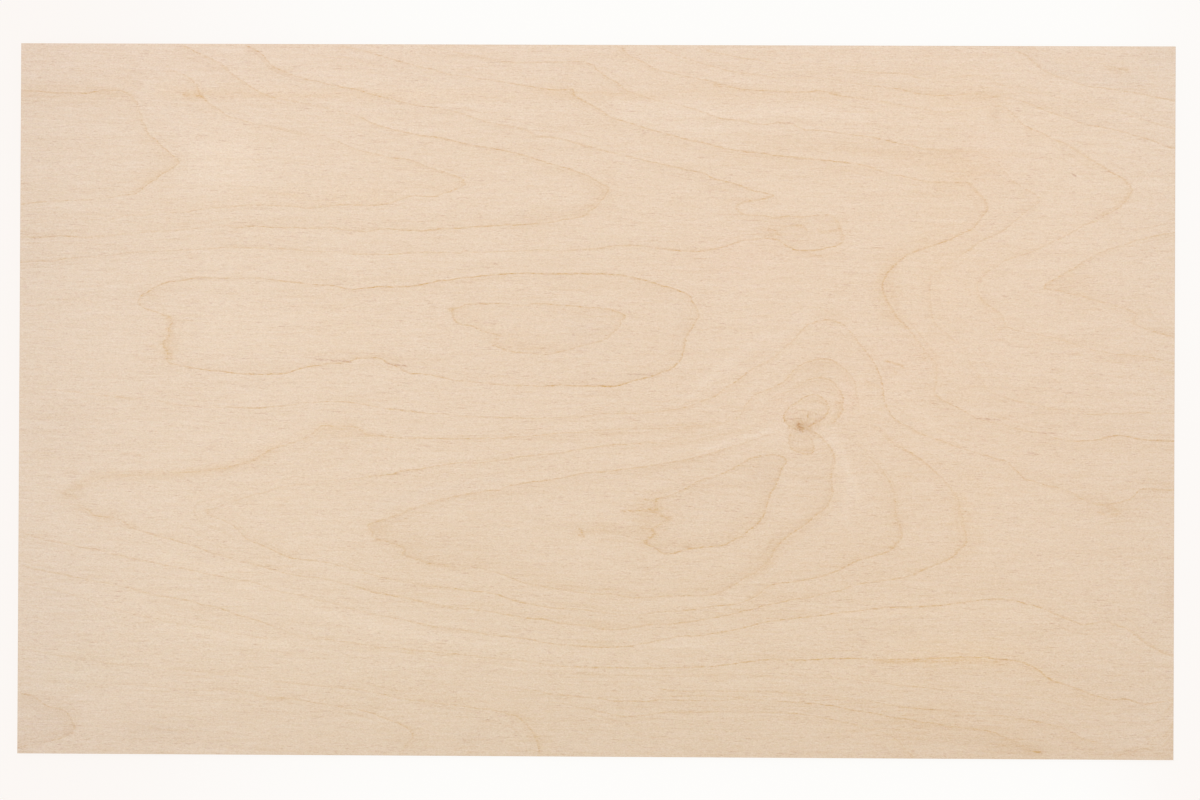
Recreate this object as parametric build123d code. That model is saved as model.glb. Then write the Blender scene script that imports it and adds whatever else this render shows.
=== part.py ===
from build123d import *
import os

# A sheet of thin birch plywood, lying flat with its show face up.
# X runs along the face grain, Y across it, Z up.
# The origin is the middle of the underside, so the sheet stands on Z = 0.

SHEET_LENGTH = 495.0      # along the face grain
SHEET_WIDTH = 305.0       # across the face grain
SHEET_THICKNESS = 3.0     # three plies of about 1 mm, pressed and glued as one
ARRIS = 0.12              # the fine sanded break round the rim of both faces

os.makedirs("parts", exist_ok=True)

# The board as it comes off the panel saw: pressed in one, with square sawn sides.
sheet = Box(
    SHEET_LENGTH,
    SHEET_WIDTH,
    SHEET_THICKNESS,
    align=(Align.CENTER, Align.CENTER, Align.MIN),
)

# The break runs round the show face and round the back.
faces_up = sheet.faces().sort_by(Axis.Z)
sheet = chamfer(faces_up[-1].edges() + faces_up[0].edges(), ARRIS)

sheet.label = "plywood_sheet"
export_step(sheet, "parts/plywood_sheet.step")
print("plywood_sheet volume mm3", round(sheet.volume, 1))
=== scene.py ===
import math

import bmesh
import bpy
import numpy as np
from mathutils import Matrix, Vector
from mathutils.geometry import delaunay_2d_cdt


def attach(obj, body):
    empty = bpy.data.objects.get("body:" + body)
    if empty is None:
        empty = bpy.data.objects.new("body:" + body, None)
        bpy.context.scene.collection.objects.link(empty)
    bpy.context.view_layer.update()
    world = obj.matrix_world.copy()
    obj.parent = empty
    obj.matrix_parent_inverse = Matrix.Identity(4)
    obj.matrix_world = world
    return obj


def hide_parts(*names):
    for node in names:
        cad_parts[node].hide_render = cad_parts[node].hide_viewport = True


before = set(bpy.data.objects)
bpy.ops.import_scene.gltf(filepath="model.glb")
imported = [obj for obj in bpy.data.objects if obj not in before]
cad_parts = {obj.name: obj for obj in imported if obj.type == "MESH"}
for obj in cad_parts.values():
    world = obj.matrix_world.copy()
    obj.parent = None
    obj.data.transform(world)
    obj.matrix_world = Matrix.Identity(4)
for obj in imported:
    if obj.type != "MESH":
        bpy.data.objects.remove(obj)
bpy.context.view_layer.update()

# A bare birch plywood sheet, lying show face up. All of the figure is laid out in
# millimetres from the face's lower left corner, X along the grain and Y across it.
LENGTH, WIDTH, THICK = 495.0, 305.0, 3.0
ARRIS = 0.12

# The growth lines of the rotary-cut face veneer. Each has the side on which its dense,
# darker late wood lies (1: to the right of the way it is drawn, seen from above), its
# strength, the tan and grey steps of the late wood beside it, then its points: X, Y and
# now and then the line's weight from there on.
GROWTH_LINES = (
    ("left loop", 1, 1.16, (3.8, -0.6), """
        0.7,284.8,0.5 4.8,284.6 9.4,284.2 13.5,283.7 18.1,284.0,0.5 24.1,283.7 29.3,283.7 33.6,284.7 37.9,284.9,0.5
        42.3,284.9 46.6,283.4 48.4,281.2 50.2,279.3 50.9,276.4 52.3,273.8,0.4 52.1,271.3 54.2,269.6 54.4,267.0
        55.7,265.3 58.4,263.7 60.2,261.6 63.7,258.7,0.7 66.3,256.5 68.4,253.9 65.0,251.1 62.6,249.9 59.6,248.1
        59.1,246.9,0.7 54.6,244.7 50.0,240.4 43.3,239.8 38.2,238.5,0.3 27.9,237.7 12.9,237.1,0.3 0.4,235.8,0.6"""),
    ("second loop", 1, 0.96, (4.2, -1.5), """
        63.6,293.9,0.4 69.5,292.0 72.8,290.1 75.8,287.2 77.0,283.8 80.3,280.1,0.5 84.2,277.5 87.3,275.3 88.9,273.9
        94.0,272.7 99.1,271.0,0.4 103.5,270.0 109.5,268.9 116.3,267.2 123.2,265.7,0.3 128.8,265.2 137.3,262.9
        142.2,260.6,0.4 146.4,259.4 154.1,257.5 160.2,256.0,0.5 166.3,255.7 171.4,253.9 174.6,252.6 178.7,251.1,0.5
        183.8,249.5 188.2,248.3 190.7,246.8 191.5,245.2 188.1,243.4,0.7 184.7,241.7 181.3,240.8 178.1,239.5
        172.9,239.9 168.0,239.9,0.5 160.2,237.2 156.8,236.3 151.7,235.8 146.6,235.9,0.6 137.3,235.9 129.8,235.2
        123.3,234.4,0.5 116.5,235.4 106.1,235.6 100.2,235.7,0.5 94.2,235.2 87.4,234.7 80.8,234.4,0.5 70.5,232.5
        61.8,232.7,0.3 53.3,231.3 46.8,231.2 38.2,229.5,0.3 25.7,229.2 12.9,228.7,0.1 0.3,226.8,0.1"""),
    ("third loop", 1, 1.08, (3.1, 0.2), """
        69.6,304.2,0.7 77.6,300.4 86.1,296.4,0.5 89.9,292.8 93.1,290.4 99.1,286.5 103.4,283.8,0.5 109.3,281.8
        118.9,280.1 127.8,278.3,0.3 133.0,277.2 139.5,275.4 146.7,273.4,0.5 151.1,271.1 156.7,269.4 163.2,267.8
        171.8,265.9,0.6 180.4,264.9 186.8,263.5 193.2,261.9,0.6 201.8,260.7 210.3,259.0 219.0,256.8,0.5 225.4,254.6
        231.9,252.9 238.3,250.8,0.5 244.8,248.4 249.0,245.7 252.7,243.6 251.5,240.5,0.5 249.6,238.5 247.7,235.5
        244.8,234.2 242.6,231.8 238.4,230.7 234.1,230.1,0.5 229.8,229.1 225.5,228.4 221.3,228.2 217.0,227.9
        212.7,227.5,0.7 208.4,227.6 204.1,227.2 197.7,226.9 193.4,226.5,0.7 187.0,226.1 180.5,225.8 174.0,225.0,0.7
        168.5,225.2 163.3,225.3 159.0,225.7 153.9,225.5,0.6 150.5,224.6 146.1,224.7 142.0,225.1 137.6,225.5
        133.3,226.4,0.4 129.0,225.9 122.5,226.0 116.1,226.1 107.5,226.3,0.7 98.9,226.5 93.3,226.2 83.9,226.5,0.2
        78.7,226.1 75.2,225.6 70.9,225.4 66.7,224.5 60.2,224.4,0.4 51.6,223.7 45.1,223.2 40.8,222.6,0.3 34.3,222.2
        29.2,221.7 25.8,221.6 21.6,222.1,0.6 17.1,222.2 8.7,221.5 0.3,221.7,0.4"""),
    ("fourth loop", 1, 1.06, (1.4, 1.3), """
        97.8,303.9,0.7 102.8,301.3 105.4,298.3 107.9,295.5 112.8,293.4,0.6 117.9,291.2 122.9,289.9 128.7,288.7
        137.3,286.7,0.6 145.8,285.2 152.2,283.1 158.8,281.9,0.7 163.1,280.4 169.6,278.9 176.0,278.2 183.3,276.9,0.4
        188.9,275.6 195.3,273.5 199.7,271.9 206.0,270.6,0.5 212.5,269.5 218.0,267.9 221.5,265.7 227.6,265.3,0.4
        234.0,264.1 240.4,262.2 244.8,261.2 249.9,259.8,0.5 257.6,257.9 263.4,256.7 270.0,255.0,0.5 276.8,253.7
        282.9,252.3 288.9,251.2,0.6 294.0,250.0 297.2,247.9 302.1,246.8 307.3,245.6,0.9 310.8,244.3 315.0,242.6
        321.0,241.4 323.7,240.6 322.2,239.9,0.7 319.2,239.0 312.4,238.1 308.9,237.2 307.5,235.2 309.3,233.2,0.4
        313.3,232.2 318.5,232.1 323.7,231.1 328.8,231.8,0.6 334.8,231.4 341.2,232.2 346.7,232.3,0.3 349.8,231.1
        351.8,228.3 352.7,225.0 353.9,221.8 352.7,220.5 349.7,219.1,0.7 346.7,218.4 343.3,217.5 339.1,217.2
        334.8,217.1 331.4,218.0,0.7 328.3,219.5 326.2,221.2 324.1,221.9 319.8,222.3 315.6,221.8 311.2,221.5,0.5
        308.1,220.6 304.7,219.3 300.5,218.0 296.2,217.3 292.0,216.7,0.8 286.9,216.7 282.2,216.8 277.0,217.5
        272.8,218.0,0.5 266.3,218.8 259.9,219.0 256.4,218.8 252.6,218.4,0.6 249.1,217.8 244.8,217.3 238.4,216.9
        232.1,216.5,0.4 223.5,216.8 214.9,216.6 206.3,216.2,0.4 199.9,215.9 195.6,215.9 191.3,216.6 189.1,215.5
        180.6,215.6,0.4 174.1,215.8 167.7,215.5 161.2,214.8,0.7 156.9,214.8 150.5,214.9 144.1,214.9 137.6,215.8,0.3
        131.2,215.9 122.6,216.2 116.2,216.9,0.4 107.5,217.0 101.1,217.5 96.8,217.5,0.5 92.5,217.8 88.3,217.6
        83.9,217.1 77.4,216.7,0.4 68.8,216.3 60.2,215.7 51.7,215.3,0.3 47.3,215.3 43.1,214.7 38.7,213.9 32.3,213.3,0.3
        25.9,212.9 21.5,212.7 18.1,212.2 12.9,211.1,0.4 8.7,211.5 0.3,210.6,0.6"""),
    ("fifth line", 1, 1.02, (2.7, 0.3), """
        137.6,304.2,0.5 144.7,302.9 154.0,300.3 162.6,297.8,0.5 171.1,295.4 177.9,294.2 182.8,292.4,0.4 189.6,291.5
        196.5,290.5 205.1,289.3,0.5 213.5,288.0 221.8,286.5 230.4,285.6,0.6 237.1,286.1 237.5,283.7 239.8,282.1
        243.3,280.1 247.6,277.9,0.6 250.8,275.8 253.3,274.0 255.4,273.2 261.8,271.5 267.3,269.8,0.6 274.2,267.7
        281.1,266.0 287.1,264.3,0.6 292.3,263.5 298.9,261.7 305.5,260.3,0.7 312.4,259.3 317.5,258.9 325.3,257.7,0.7
        334.6,256.8 342.8,256.1 349.6,255.4,0.8 358.2,254.5 363.4,253.4 369.3,251.3,0.4 374.0,249.9 379.2,249.0
        385.8,247.5 392.5,246.8,0.5 401.0,246.6 407.0,246.1 409.5,243.3,0.5 412.9,239.7 414.8,237.2 414.6,234.8
        412.1,231.4 408.4,226.6,0.5 405.3,225.3 401.0,223.2 396.7,221.2 392.5,219.9 388.2,218.3,0.6 383.9,216.8
        379.7,214.9 377.6,212.8 374.7,210.5 372.7,208.3,0.7 371.3,205.9 370.2,203.4 370.4,200.2 371.6,197.2
        373.0,194.2 375.3,190.7,0.6 376.7,188.2 379.8,185.4 382.9,182.0 385.4,178.5 388.4,174.7,0.4 390.5,171.7
        392.9,169.5 393.7,166.2 393.5,162.8 392.9,158.5,0.4 392.9,156.0 395.5,153.6 398.4,152.2 401.4,150.6
        406.9,147.8,0.5 410.0,145.9 414.3,144.5 418.5,143.7 422.8,142.9 427.1,141.6,0.3 431.2,140.4 435.5,139.9
        439.8,139.0 444.1,137.4 448.3,136.6,0.4 454.7,136.1 461.1,136.6 465.3,137.5 468.3,138.3,0.7 471.8,138.4
        476.1,137.9 480.3,136.9 484.6,136.6 488.7,136.5,0.7 494.7,136.3,0.8"""),
    ("sixth line", 1, 0.82, (1.1, 0.9), """
        174.5,304.0,0.4 180.9,302.7 187.7,301.5 192.8,300.5,0.5 201.5,298.8 206.6,297.8 216.4,297.3,0.45 231.4,297.6
        237.0,297.8,0.65 241.3,297.9 245.5,296.2 248.6,293.5 252.1,291.1 256.5,288.6,0.75 259.1,286.0 263.2,284.2
        266.9,283.1 274.2,281.0,0.4 281.1,279.7 287.1,278.2 292.3,276.5,0.6 297.2,274.8 302.1,273.4 308.9,272.9
        314.0,271.6,0.5 319.2,271.0 326.0,271.9 331.2,271.3 334.6,269.7,0.7 337.0,268.8 342.8,268.7 349.7,267.8
        356.5,266.7,0.6 363.3,266.2 368.9,265.0 373.2,264.1 378.3,262.8,0.7 381.7,262.4 385.8,261.1 394.1,260.6
        402.6,259.9,0.2 411.2,259.6 414.6,257.2 418.1,255.2 420.8,252.8,0.4 423.9,249.2 426.1,246.8 429.3,244.9
        434.1,242.1 437.8,239.7,0.45 436.3,237.6 432.4,235.0 428.8,231.8 425.6,229.2 422.2,226.2,0.4 416.8,223.7
        413.8,222.5 410.9,220.7 407.4,218.0 404.1,215.9,0.3 401.3,213.8 396.9,210.6 394.5,208.8 392.3,207.5
        390.7,206.1 390.4,202.6,0.4 390.0,199.5 390.2,196.1 390.8,191.7 391.8,187.4 394.7,184.1,0.3 398.9,180.5
        403.2,177.3 406.1,175.0 407.3,170.7,0.2 408.8,167.3 411.1,164.2 413.7,159.6 416.2,156.7 420.5,155.4,0.4
        424.9,154.0 429.1,152.6 433.4,152.1 437.6,151.1 441.9,150.0,0.4 446.2,149.4 450.4,148.0 454.7,147.5
        461.1,147.5,0.5 467.4,148.0 473.8,148.0 480.3,148.3,0.6 486.6,148.1 494.7,148.0,0.2"""),
    ("seventh line", 1, 0.87, (2.0, -0.9), """
        258.0,303.8,0.7 261.8,300.0 266.8,298.0 272.1,294.8 278.1,293.2,0.5 283.4,292.0 288.6,290.9 295.3,289.9
        302.2,287.9,0.7 307.2,286.5 312.3,285.9 320.8,285.6,0.6 329.4,285.0 337.7,285.0 342.7,285.8,0.7 346.2,285.1
        350.3,283.8 359.0,282.5 367.5,281.5,0.4 376.6,279.7 381.7,278.6 388.3,277.8,0.4 394.0,276.7 405.1,277.3
        413.6,279.1,0.25 420.3,279.3 423.6,277.6 427.1,274.3 429.7,271.4,0.6 433.1,269.8 437.3,268.1 442.4,265.6
        447.6,263.4,0.6 452.6,260.6 457.8,256.9 462.8,254.3 466.9,251.5,0.65 472.0,248.9 474.4,247.0 476.3,244.3
        476.3,242.3 473.6,238.4,0.6 469.7,235.0 465.1,232.8 461.0,229.9 456.0,228.4,0.55 453.3,226.7 449.9,224.6
        445.7,222.5 441.4,220.6 437.3,218.4,0.5 433.1,216.5 428.8,215.3 424.6,213.9 421.0,212.4 419.1,210.4,0.3
        415.8,209.0 413.7,206.8 411.4,204.6 410.6,201.4 411.7,198.0 413.9,194.9,0.4 416.4,193.3 419.4,191.5
        421.7,189.2 422.1,187.1 423.6,184.9 426.9,183.3,0.4 431.2,182.6 435.4,181.9 439.7,180.9 444.0,180.0
        448.3,178.9,0.4 452.6,177.2 456.8,175.9 461.1,174.9 465.3,174.3 469.6,173.3,0.6 475.9,172.9 482.3,172.4
        486.6,171.5 490.8,170.4,0.4 494.6,169.2,0.4"""),
    ("eighth line", -1, 1.02, (1.6, 1.8), """
        273.4,304.1,0.4 277.7,302.4 282.2,300.4 288.2,298.6 294.9,296.3,0.4 300.2,295.0 306.8,293.4 315.5,292.5,0.3
        325.0,291.0 334.3,291.1,0.3 342.5,291.1 350.2,290.1 357.1,288.7,0.3 363.1,288.0 368.7,287.3 376.5,286.4,0.6
        380.8,285.5 384.9,284.3 390.6,283.9 398.2,283.7,0.6 404.2,284.3 410.2,284.5 416.2,283.5,0.3 422.9,282.8
        429.4,281.5 433.9,279.7,0.4 439.0,277.5 444.1,275.8 449.3,274.2 454.3,272.2,0.5 458.6,271.2 464.2,270.2
        470.2,269.0 475.3,267.5,0.5 481.2,265.8 486.9,264.1 490.9,262.0 494.8,261.5,0.6"""),
    ("ninth line", -1, 0.83, (0.7, 0.9), """
        293.0,303.8,0.5 296.4,302.2 303.0,301.0 309.9,299.5 316.7,298.6,0.6 323.7,297.5 330.6,296.8 337.2,296.0,0.2
        345.5,296.0 354.2,295.1 362.8,293.8,0.4 371.5,293.2 377.0,293.1 382.2,292.3,0.4 385.5,291.0 392.1,291.0
        397.2,291.0 402.3,291.9,0.3 409.1,292.5 413.3,291.5 418.7,289.0 427.7,286.3,0.2 436.3,284.4 450.0,282.0,0.25
        457.8,279.4 465.8,278.3 472.6,276.5,0.35 479.5,274.2 486.7,271.8 494.7,269.7,0.35"""),
    ("tenth line", -1, 0.85, (1.0, 2.8), """
        425.8,302.7,0.5 430.2,301.6 433.0,298.9 436.5,296.4 438.6,294.4 443.0,292.5,0.5 447.3,291.2 451.7,289.8
        456.9,287.9 462.4,287.4,0.65 468.4,286.5 475.2,285.5 480.3,284.6,0.5 486.7,283.1 494.5,281.6,0.5"""),
    ("long island", 1, 1.34, (2.4, 0.6), """
        51.6,196.3,0.6 52.9,197.1 55.1,198.3 57.3,199.9 60.3,201.5 63.7,202.6 66.8,203.0 71.0,203.6,0.6 75.3,204.3
        79.7,204.7 84.0,204.3 94.7,204.3,0.3 101.2,204.6 105.5,204.1 109.8,203.7 114.0,202.9,0.4 118.5,202.7
        122.7,202.1 129.1,201.5 133.4,201.5,0.6 137.7,200.6 142.0,199.8 146.2,200.0 150.6,200.5 154.9,200.9,0.7
        163.5,200.9 167.7,201.3 172.0,201.7 176.2,202.6,0.7 180.5,203.6 184.8,203.9 189.1,204.7 193.4,205.1
        197.8,205.6,0.8 202.0,206.1 206.3,206.6 212.8,206.9 219.2,207.0,0.7 225.7,206.6 232.1,206.8 238.5,206.8,0.7
        244.9,206.7 251.4,206.7 255.7,206.5 259.9,206.0,0.6 264.2,205.2 268.4,204.0 272.6,203.0 275.7,201.8
        279.1,201.1,0.7 282.6,199.8 285.1,198.9 287.8,197.5 288.9,195.0 290.2,193.3 290.9,191.0 291.8,189.0,0.5
        290.2,186.6 289.0,184.0 287.0,181.1 285.9,178.7 285.5,175.1 284.9,172.5,0.6 283.8,169.9 282.3,168.3
        279.2,165.8 275.8,164.7 272.8,163.3 268.6,162.2,0.7 264.3,161.2 260.9,160.0 258.0,159.2 253.7,158.5
        249.5,158.8,0.8 245.2,158.7 238.8,158.7 232.2,159.1 225.8,158.4,0.5 219.4,158.8 213.0,158.8 206.6,159.1,0.3
        200.2,159.8 195.9,160.1 191.6,160.7 187.2,160.8,0.4 183.8,161.6 180.8,162.4 176.5,163.1 172.3,163.6
        168.8,163.6,0.5 165.8,164.4 163.0,166.3 160.5,167.4 158.4,168.0 156.4,169.5 154.8,170.2 151.6,170.4,0.35
        147.3,170.1 145.6,170.2 142.8,169.0 139.9,168.2 133.5,168.0,0.4 129.3,167.0 124.9,166.5 121.9,165.8
        118.5,164.9 116.3,164.1 112.1,163.4,0.6 103.5,163.2 95.0,163.3 90.6,163.8,0.7 86.4,164.4 82.1,164.6 77.8,165.3
        73.5,166.0 69.2,166.9,0.4 64.1,167.9 63.0,169.9 63.7,172.1 62.9,174.0 60.7,175.9 63.0,177.7 64.3,180.2,0.4
        64.1,182.8 65.4,185.3 64.8,187.4 61.7,188.4 59.1,189.6 56.9,190.3 54.2,191.0,0.5 51.9,192.5 51.0,194.7
        51.4,196.1,0.5"""),
    ("inner island", 1, 1.23, (4.1, -0.3), """
        206.4,180.0,0.4 202.2,181.4 198.8,181.9 195.3,184.1 191.9,184.5 188.4,185.5,0.5 186.4,187.7 185.8,189.8
        183.6,191.4 185.8,191.5 188.4,192.2 191.8,193.4 195.6,193.7,0.5 199.9,193.8 204.2,194.0 208.6,193.8
        212.9,193.3 217.1,193.3,0.4 221.4,194.0 225.7,193.9 230.0,193.4 234.3,193.2 238.6,193.0,0.5 242.9,192.3
        247.1,192.2 251.4,191.9 253.6,191.6 256.7,190.7,0.5 258.8,189.8 260.7,188.3 258.4,187.3 257.9,185.1
        256.4,183.0 254.4,181.0 252.4,179.1 249.4,178.0,0.4 245.0,176.7 240.8,175.8 236.5,174.2 232.1,173.3
        227.9,172.4,0.3 223.7,172.0 219.5,172.9 215.0,172.9 210.7,173.5 207.6,174.3,0.5 205.0,175.6 203.4,176.0,0.5"""),
    ("line over the knot", 1, 1.16, (0.5, -0.1), """
        0.3,156.9,0.3 13.3,156.3 28.3,154.8,0.3 34.7,154.3 41.2,153.5 52.0,152.4,0.3 60.6,151.3 69.2,149.8
        77.8,148.9,0.3 84.3,148.9 90.7,149.0 97.2,148.7,0.6 103.6,148.5 107.9,149.3 114.3,149.6 120.8,150.9,0.3
        125.1,151.1 129.4,151.4 133.6,151.6 140.1,151.4,0.5 144.4,151.1 148.7,150.5 153.1,149.4 157.4,148.6
        163.8,148.0,0.6 170.2,147.4 176.6,146.4 183.1,146.5,0.3 189.4,145.6 195.9,145.5 202.4,145.1,0.3 211.0,145.0
        219.5,144.7 228.1,145.0,0.4 236.7,145.0 243.1,145.6 249.5,146.8,0.3 255.9,146.9 266.6,147.2 273.0,147.8,0.5
        279.4,148.5 283.8,149.2 288.2,150.5 292.3,152.2,0.5 296.4,153.7 299.7,155.1 302.7,158.0 307.1,160.6
        310.0,162.7,0.6 313.4,165.6 317.7,167.8 321.3,169.8 324.3,171.5 326.5,173.9,0.4 330.0,176.9 332.7,179.4
        334.6,181.7 337.2,184.7 340.0,186.1,0.5 343.5,187.2 347.8,187.4 351.0,186.5 353.9,185.3 356.0,182.9
        358.8,179.7,0.4 361.2,176.1 363.8,173.5 365.5,171.0 367.4,168.0 369.1,163.9,0.8 370.4,159.6 370.6,155.4
        371.5,152.3 373.0,148.9 374.7,145.9,0.5 377.5,143.6 381.6,141.8 384.5,140.0 388.6,138.3 395.1,136.3,0.3
        401.5,133.7 405.7,132.3 410.0,131.1 414.3,129.9,0.4 418.6,128.6 423.0,127.4 425.2,125.6 427.2,123.8
        429.2,121.5 431.4,119.5,0.6 433.5,119.2 437.8,117.9 442.0,116.7 446.4,115.8 450.7,114.3,0.3 455.0,111.7
        459.2,110.1 463.3,108.9 468.4,109.3,0.4 472.5,110.2 475.9,111.4 478.3,113.1 480.1,115.4 484.6,115.8,0.5
        488.8,115.5 494.7,115.3,0.5"""),
    ("great arrow", -1, 1.04, (2.5, 0.1), """
        35.0,117.8,0.05 28.6,117.4 25.8,115.7 23.7,113.6 20.5,110.8 18.3,108.8,0.05 22.2,107.4 26.6,106.1 30.0,104.3
        32.8,102.2 37.2,101.6,0.55 40.7,101.4 43.8,100.2 46.8,98.3 49.3,96.7 52.4,95.7 56.8,94.4,0.45 61.0,93.2
        65.3,92.3 69.6,90.9 73.9,90.0 78.3,88.3,0.5 82.5,86.7 86.8,85.6 91.1,84.1 95.4,82.9,0.4 99.8,82.0 104.0,80.9
        108.4,79.7 112.7,78.5 116.9,77.4,0.4 121.2,76.8 125.5,76.4 132.0,75.5 136.2,74.5,0.4 142.6,73.0 147.0,71.8
        151.4,70.3 155.6,69.5,0.6 159.9,68.7 164.2,68.0 168.5,67.2 172.8,66.3 177.1,65.1,0.5 181.3,64.4 187.7,63.6
        194.1,62.9 200.7,62.1,0.5 207.1,61.2 211.4,60.2 215.7,59.6 219.9,59.1,0.6 226.4,58.5 232.8,57.1 239.2,56.4,0.4
        245.7,55.8 249.9,54.8 256.3,54.6 262.7,55.1,0.5 269.1,56.4 273.4,56.8 279.8,56.8 284.1,57.4,0.6 290.5,58.3
        296.9,59.4 303.4,60.6,0.4 309.7,62.3 313.9,63.2 318.1,64.5 322.5,65.5,0.7 326.8,66.4 331.1,67.4 335.3,68.1
        340.5,69.0,0.5 346.0,70.4 352.5,71.7 356.7,73.2 361.8,74.8,0.6 367.4,75.4 373.8,76.4 378.0,77.0 382.2,78.1,0.5
        385.6,79.4 388.5,81.1 392.8,82.7 397.1,84.4 401.3,86.6,0.7 403.2,89.2 405.8,91.3 406.6,93.6 406.1,96.5
        405.3,99.9 404.4,104.1,0.3 403.5,107.5 403.1,110.4 401.0,113.7 398.2,117.6 394.7,121.0,0.4 390.4,125.2
        386.2,128.5 382.0,131.3 377.8,133.5,0.4 373.3,136.6 369.6,140.5 365.3,142.9 362.1,144.9,0.1 360.6,148.8
        360.2,152.3 359.4,154.8 359.0,159.2 357.4,162.8,0.5 355.1,165.7 352.1,168.1 349.1,169.9 347.0,170.7
        343.5,170.7 339.3,169.8,0.6 335.9,168.4 333.1,166.5 331.0,164.0 329.0,161.7 325.9,159.5 322.3,157.9,0.5
        318.9,156.7 316.0,155.4 313.8,153.3 311.6,150.4 310.1,147.5 307.4,144.6,0.3 303.1,143.5 296.7,142.8
        288.1,141.6,0.3 279.5,140.9 266.6,140.7,0.4 249.5,139.9 245.2,139.6,0.4 238.8,138.7 232.3,138.5
        225.9,137.9,0.5 219.5,137.0 213.1,136.8 206.7,136.4,0.5 200.3,136.2 187.3,135.9,0.6 172.3,136.1
        163.8,136.1,0.6 157.3,136.7 153.1,137.1 148.8,137.4 147.4,139.0 144.4,140.7,0.7 140.2,141.1 133.7,141.2
        130.2,141.2 127.6,139.5 126.1,137.9,0.5 124.0,136.4 120.9,135.1 116.8,133.6 112.3,132.3 107.9,130.9,0.5
        104.5,128.6 101.5,126.7 97.1,125.4 92.9,124.0 88.7,122.7,0.35 84.4,122.4 78.0,121.3 71.5,121.0 65.1,120.7,0.25
        56.5,120.3 47.9,119.3 42.7,118.8,0.12 35.0,118.7,0.08"""),
    ("arrow, second", -1, 1.06, (2.2, 0.2), """
        320.6,152.1,0.2 320.2,148.6 319.3,145.6 316.8,142.6 311.4,140.6 305.0,138.9,0.2 298.7,137.6 292.3,136.5
        288.0,135.8 279.4,135.0,0.2 270.9,134.3 262.4,133.9 253.8,133.5,0.5 249.6,132.9 245.4,132.3 238.8,131.2
        232.4,129.9,0.4 225.9,129.5 219.5,128.6 213.1,128.0,0.5 206.7,126.8 200.3,125.9 196.0,125.5 189.6,125.8,0.4
        185.3,124.9 180.9,124.5 176.8,123.7 172.4,122.8 168.1,122.3,0.7 163.8,121.9 161.7,120.9 157.4,120.1
        153.1,119.9 146.7,118.8,0.5 142.4,118.3 138.0,117.8 131.6,117.8 125.3,116.2,0.2 120.9,116.2 114.5,115.1
        110.2,114.3 106.1,112.6,0.35 101.6,111.6 97.2,110.3 93.0,108.9 88.7,107.4,0.4 84.6,105.5 79.9,104.4 83.1,102.0
        86.6,101.0 91.0,99.0,0.45 94.3,96.6 97.3,93.1 99.5,91.8 104.0,90.1 108.4,88.2,0.5 112.7,86.1 116.9,84.4
        121.1,83.9 125.4,83.5,0.5 129.7,82.9 134.0,82.2 138.4,81.2 142.7,80.1 146.9,78.5,0.3 151.2,77.7 157.7,75.7
        162.0,75.2 168.4,74.0,0.4 174.8,72.9 181.3,72.2 187.7,71.7,0.5 189.8,71.1 196.3,70.6 202.7,69.8 207.0,68.8,0.6
        211.2,67.3 215.5,66.1 219.8,65.2 226.3,63.9,0.5 232.7,63.3 239.2,63.1 245.6,62.5,0.45 249.9,62.1 256.3,61.1
        262.7,60.9 269.1,61.1,0.3 275.5,62.4 284.1,62.6 290.5,63.3,0.5 296.9,64.3 301.1,64.9 307.6,65.6 311.9,66.9,0.5
        316.3,68.8 318.5,70.6 320.4,72.5 323.4,74.0 326.8,74.6 331.1,75.1,0.6 335.2,75.7 339.6,76.6 343.7,77.5
        348.0,78.8 352.2,80.5,0.6 355.6,82.2 358.7,84.0 363.0,85.3 367.3,86.7 371.7,87.8,0.6 375.0,89.6 376.3,91.7
        378.3,93.9 378.5,97.6 377.0,101.9 376.0,106.3,0.4 376.2,110.5 375.7,113.5 374.4,116.9 372.8,119.7
        370.6,123.0,0.4 368.9,125.5 365.6,129.4 362.6,132.7 359.2,135.7 355.7,138.0,0.1"""),
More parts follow.
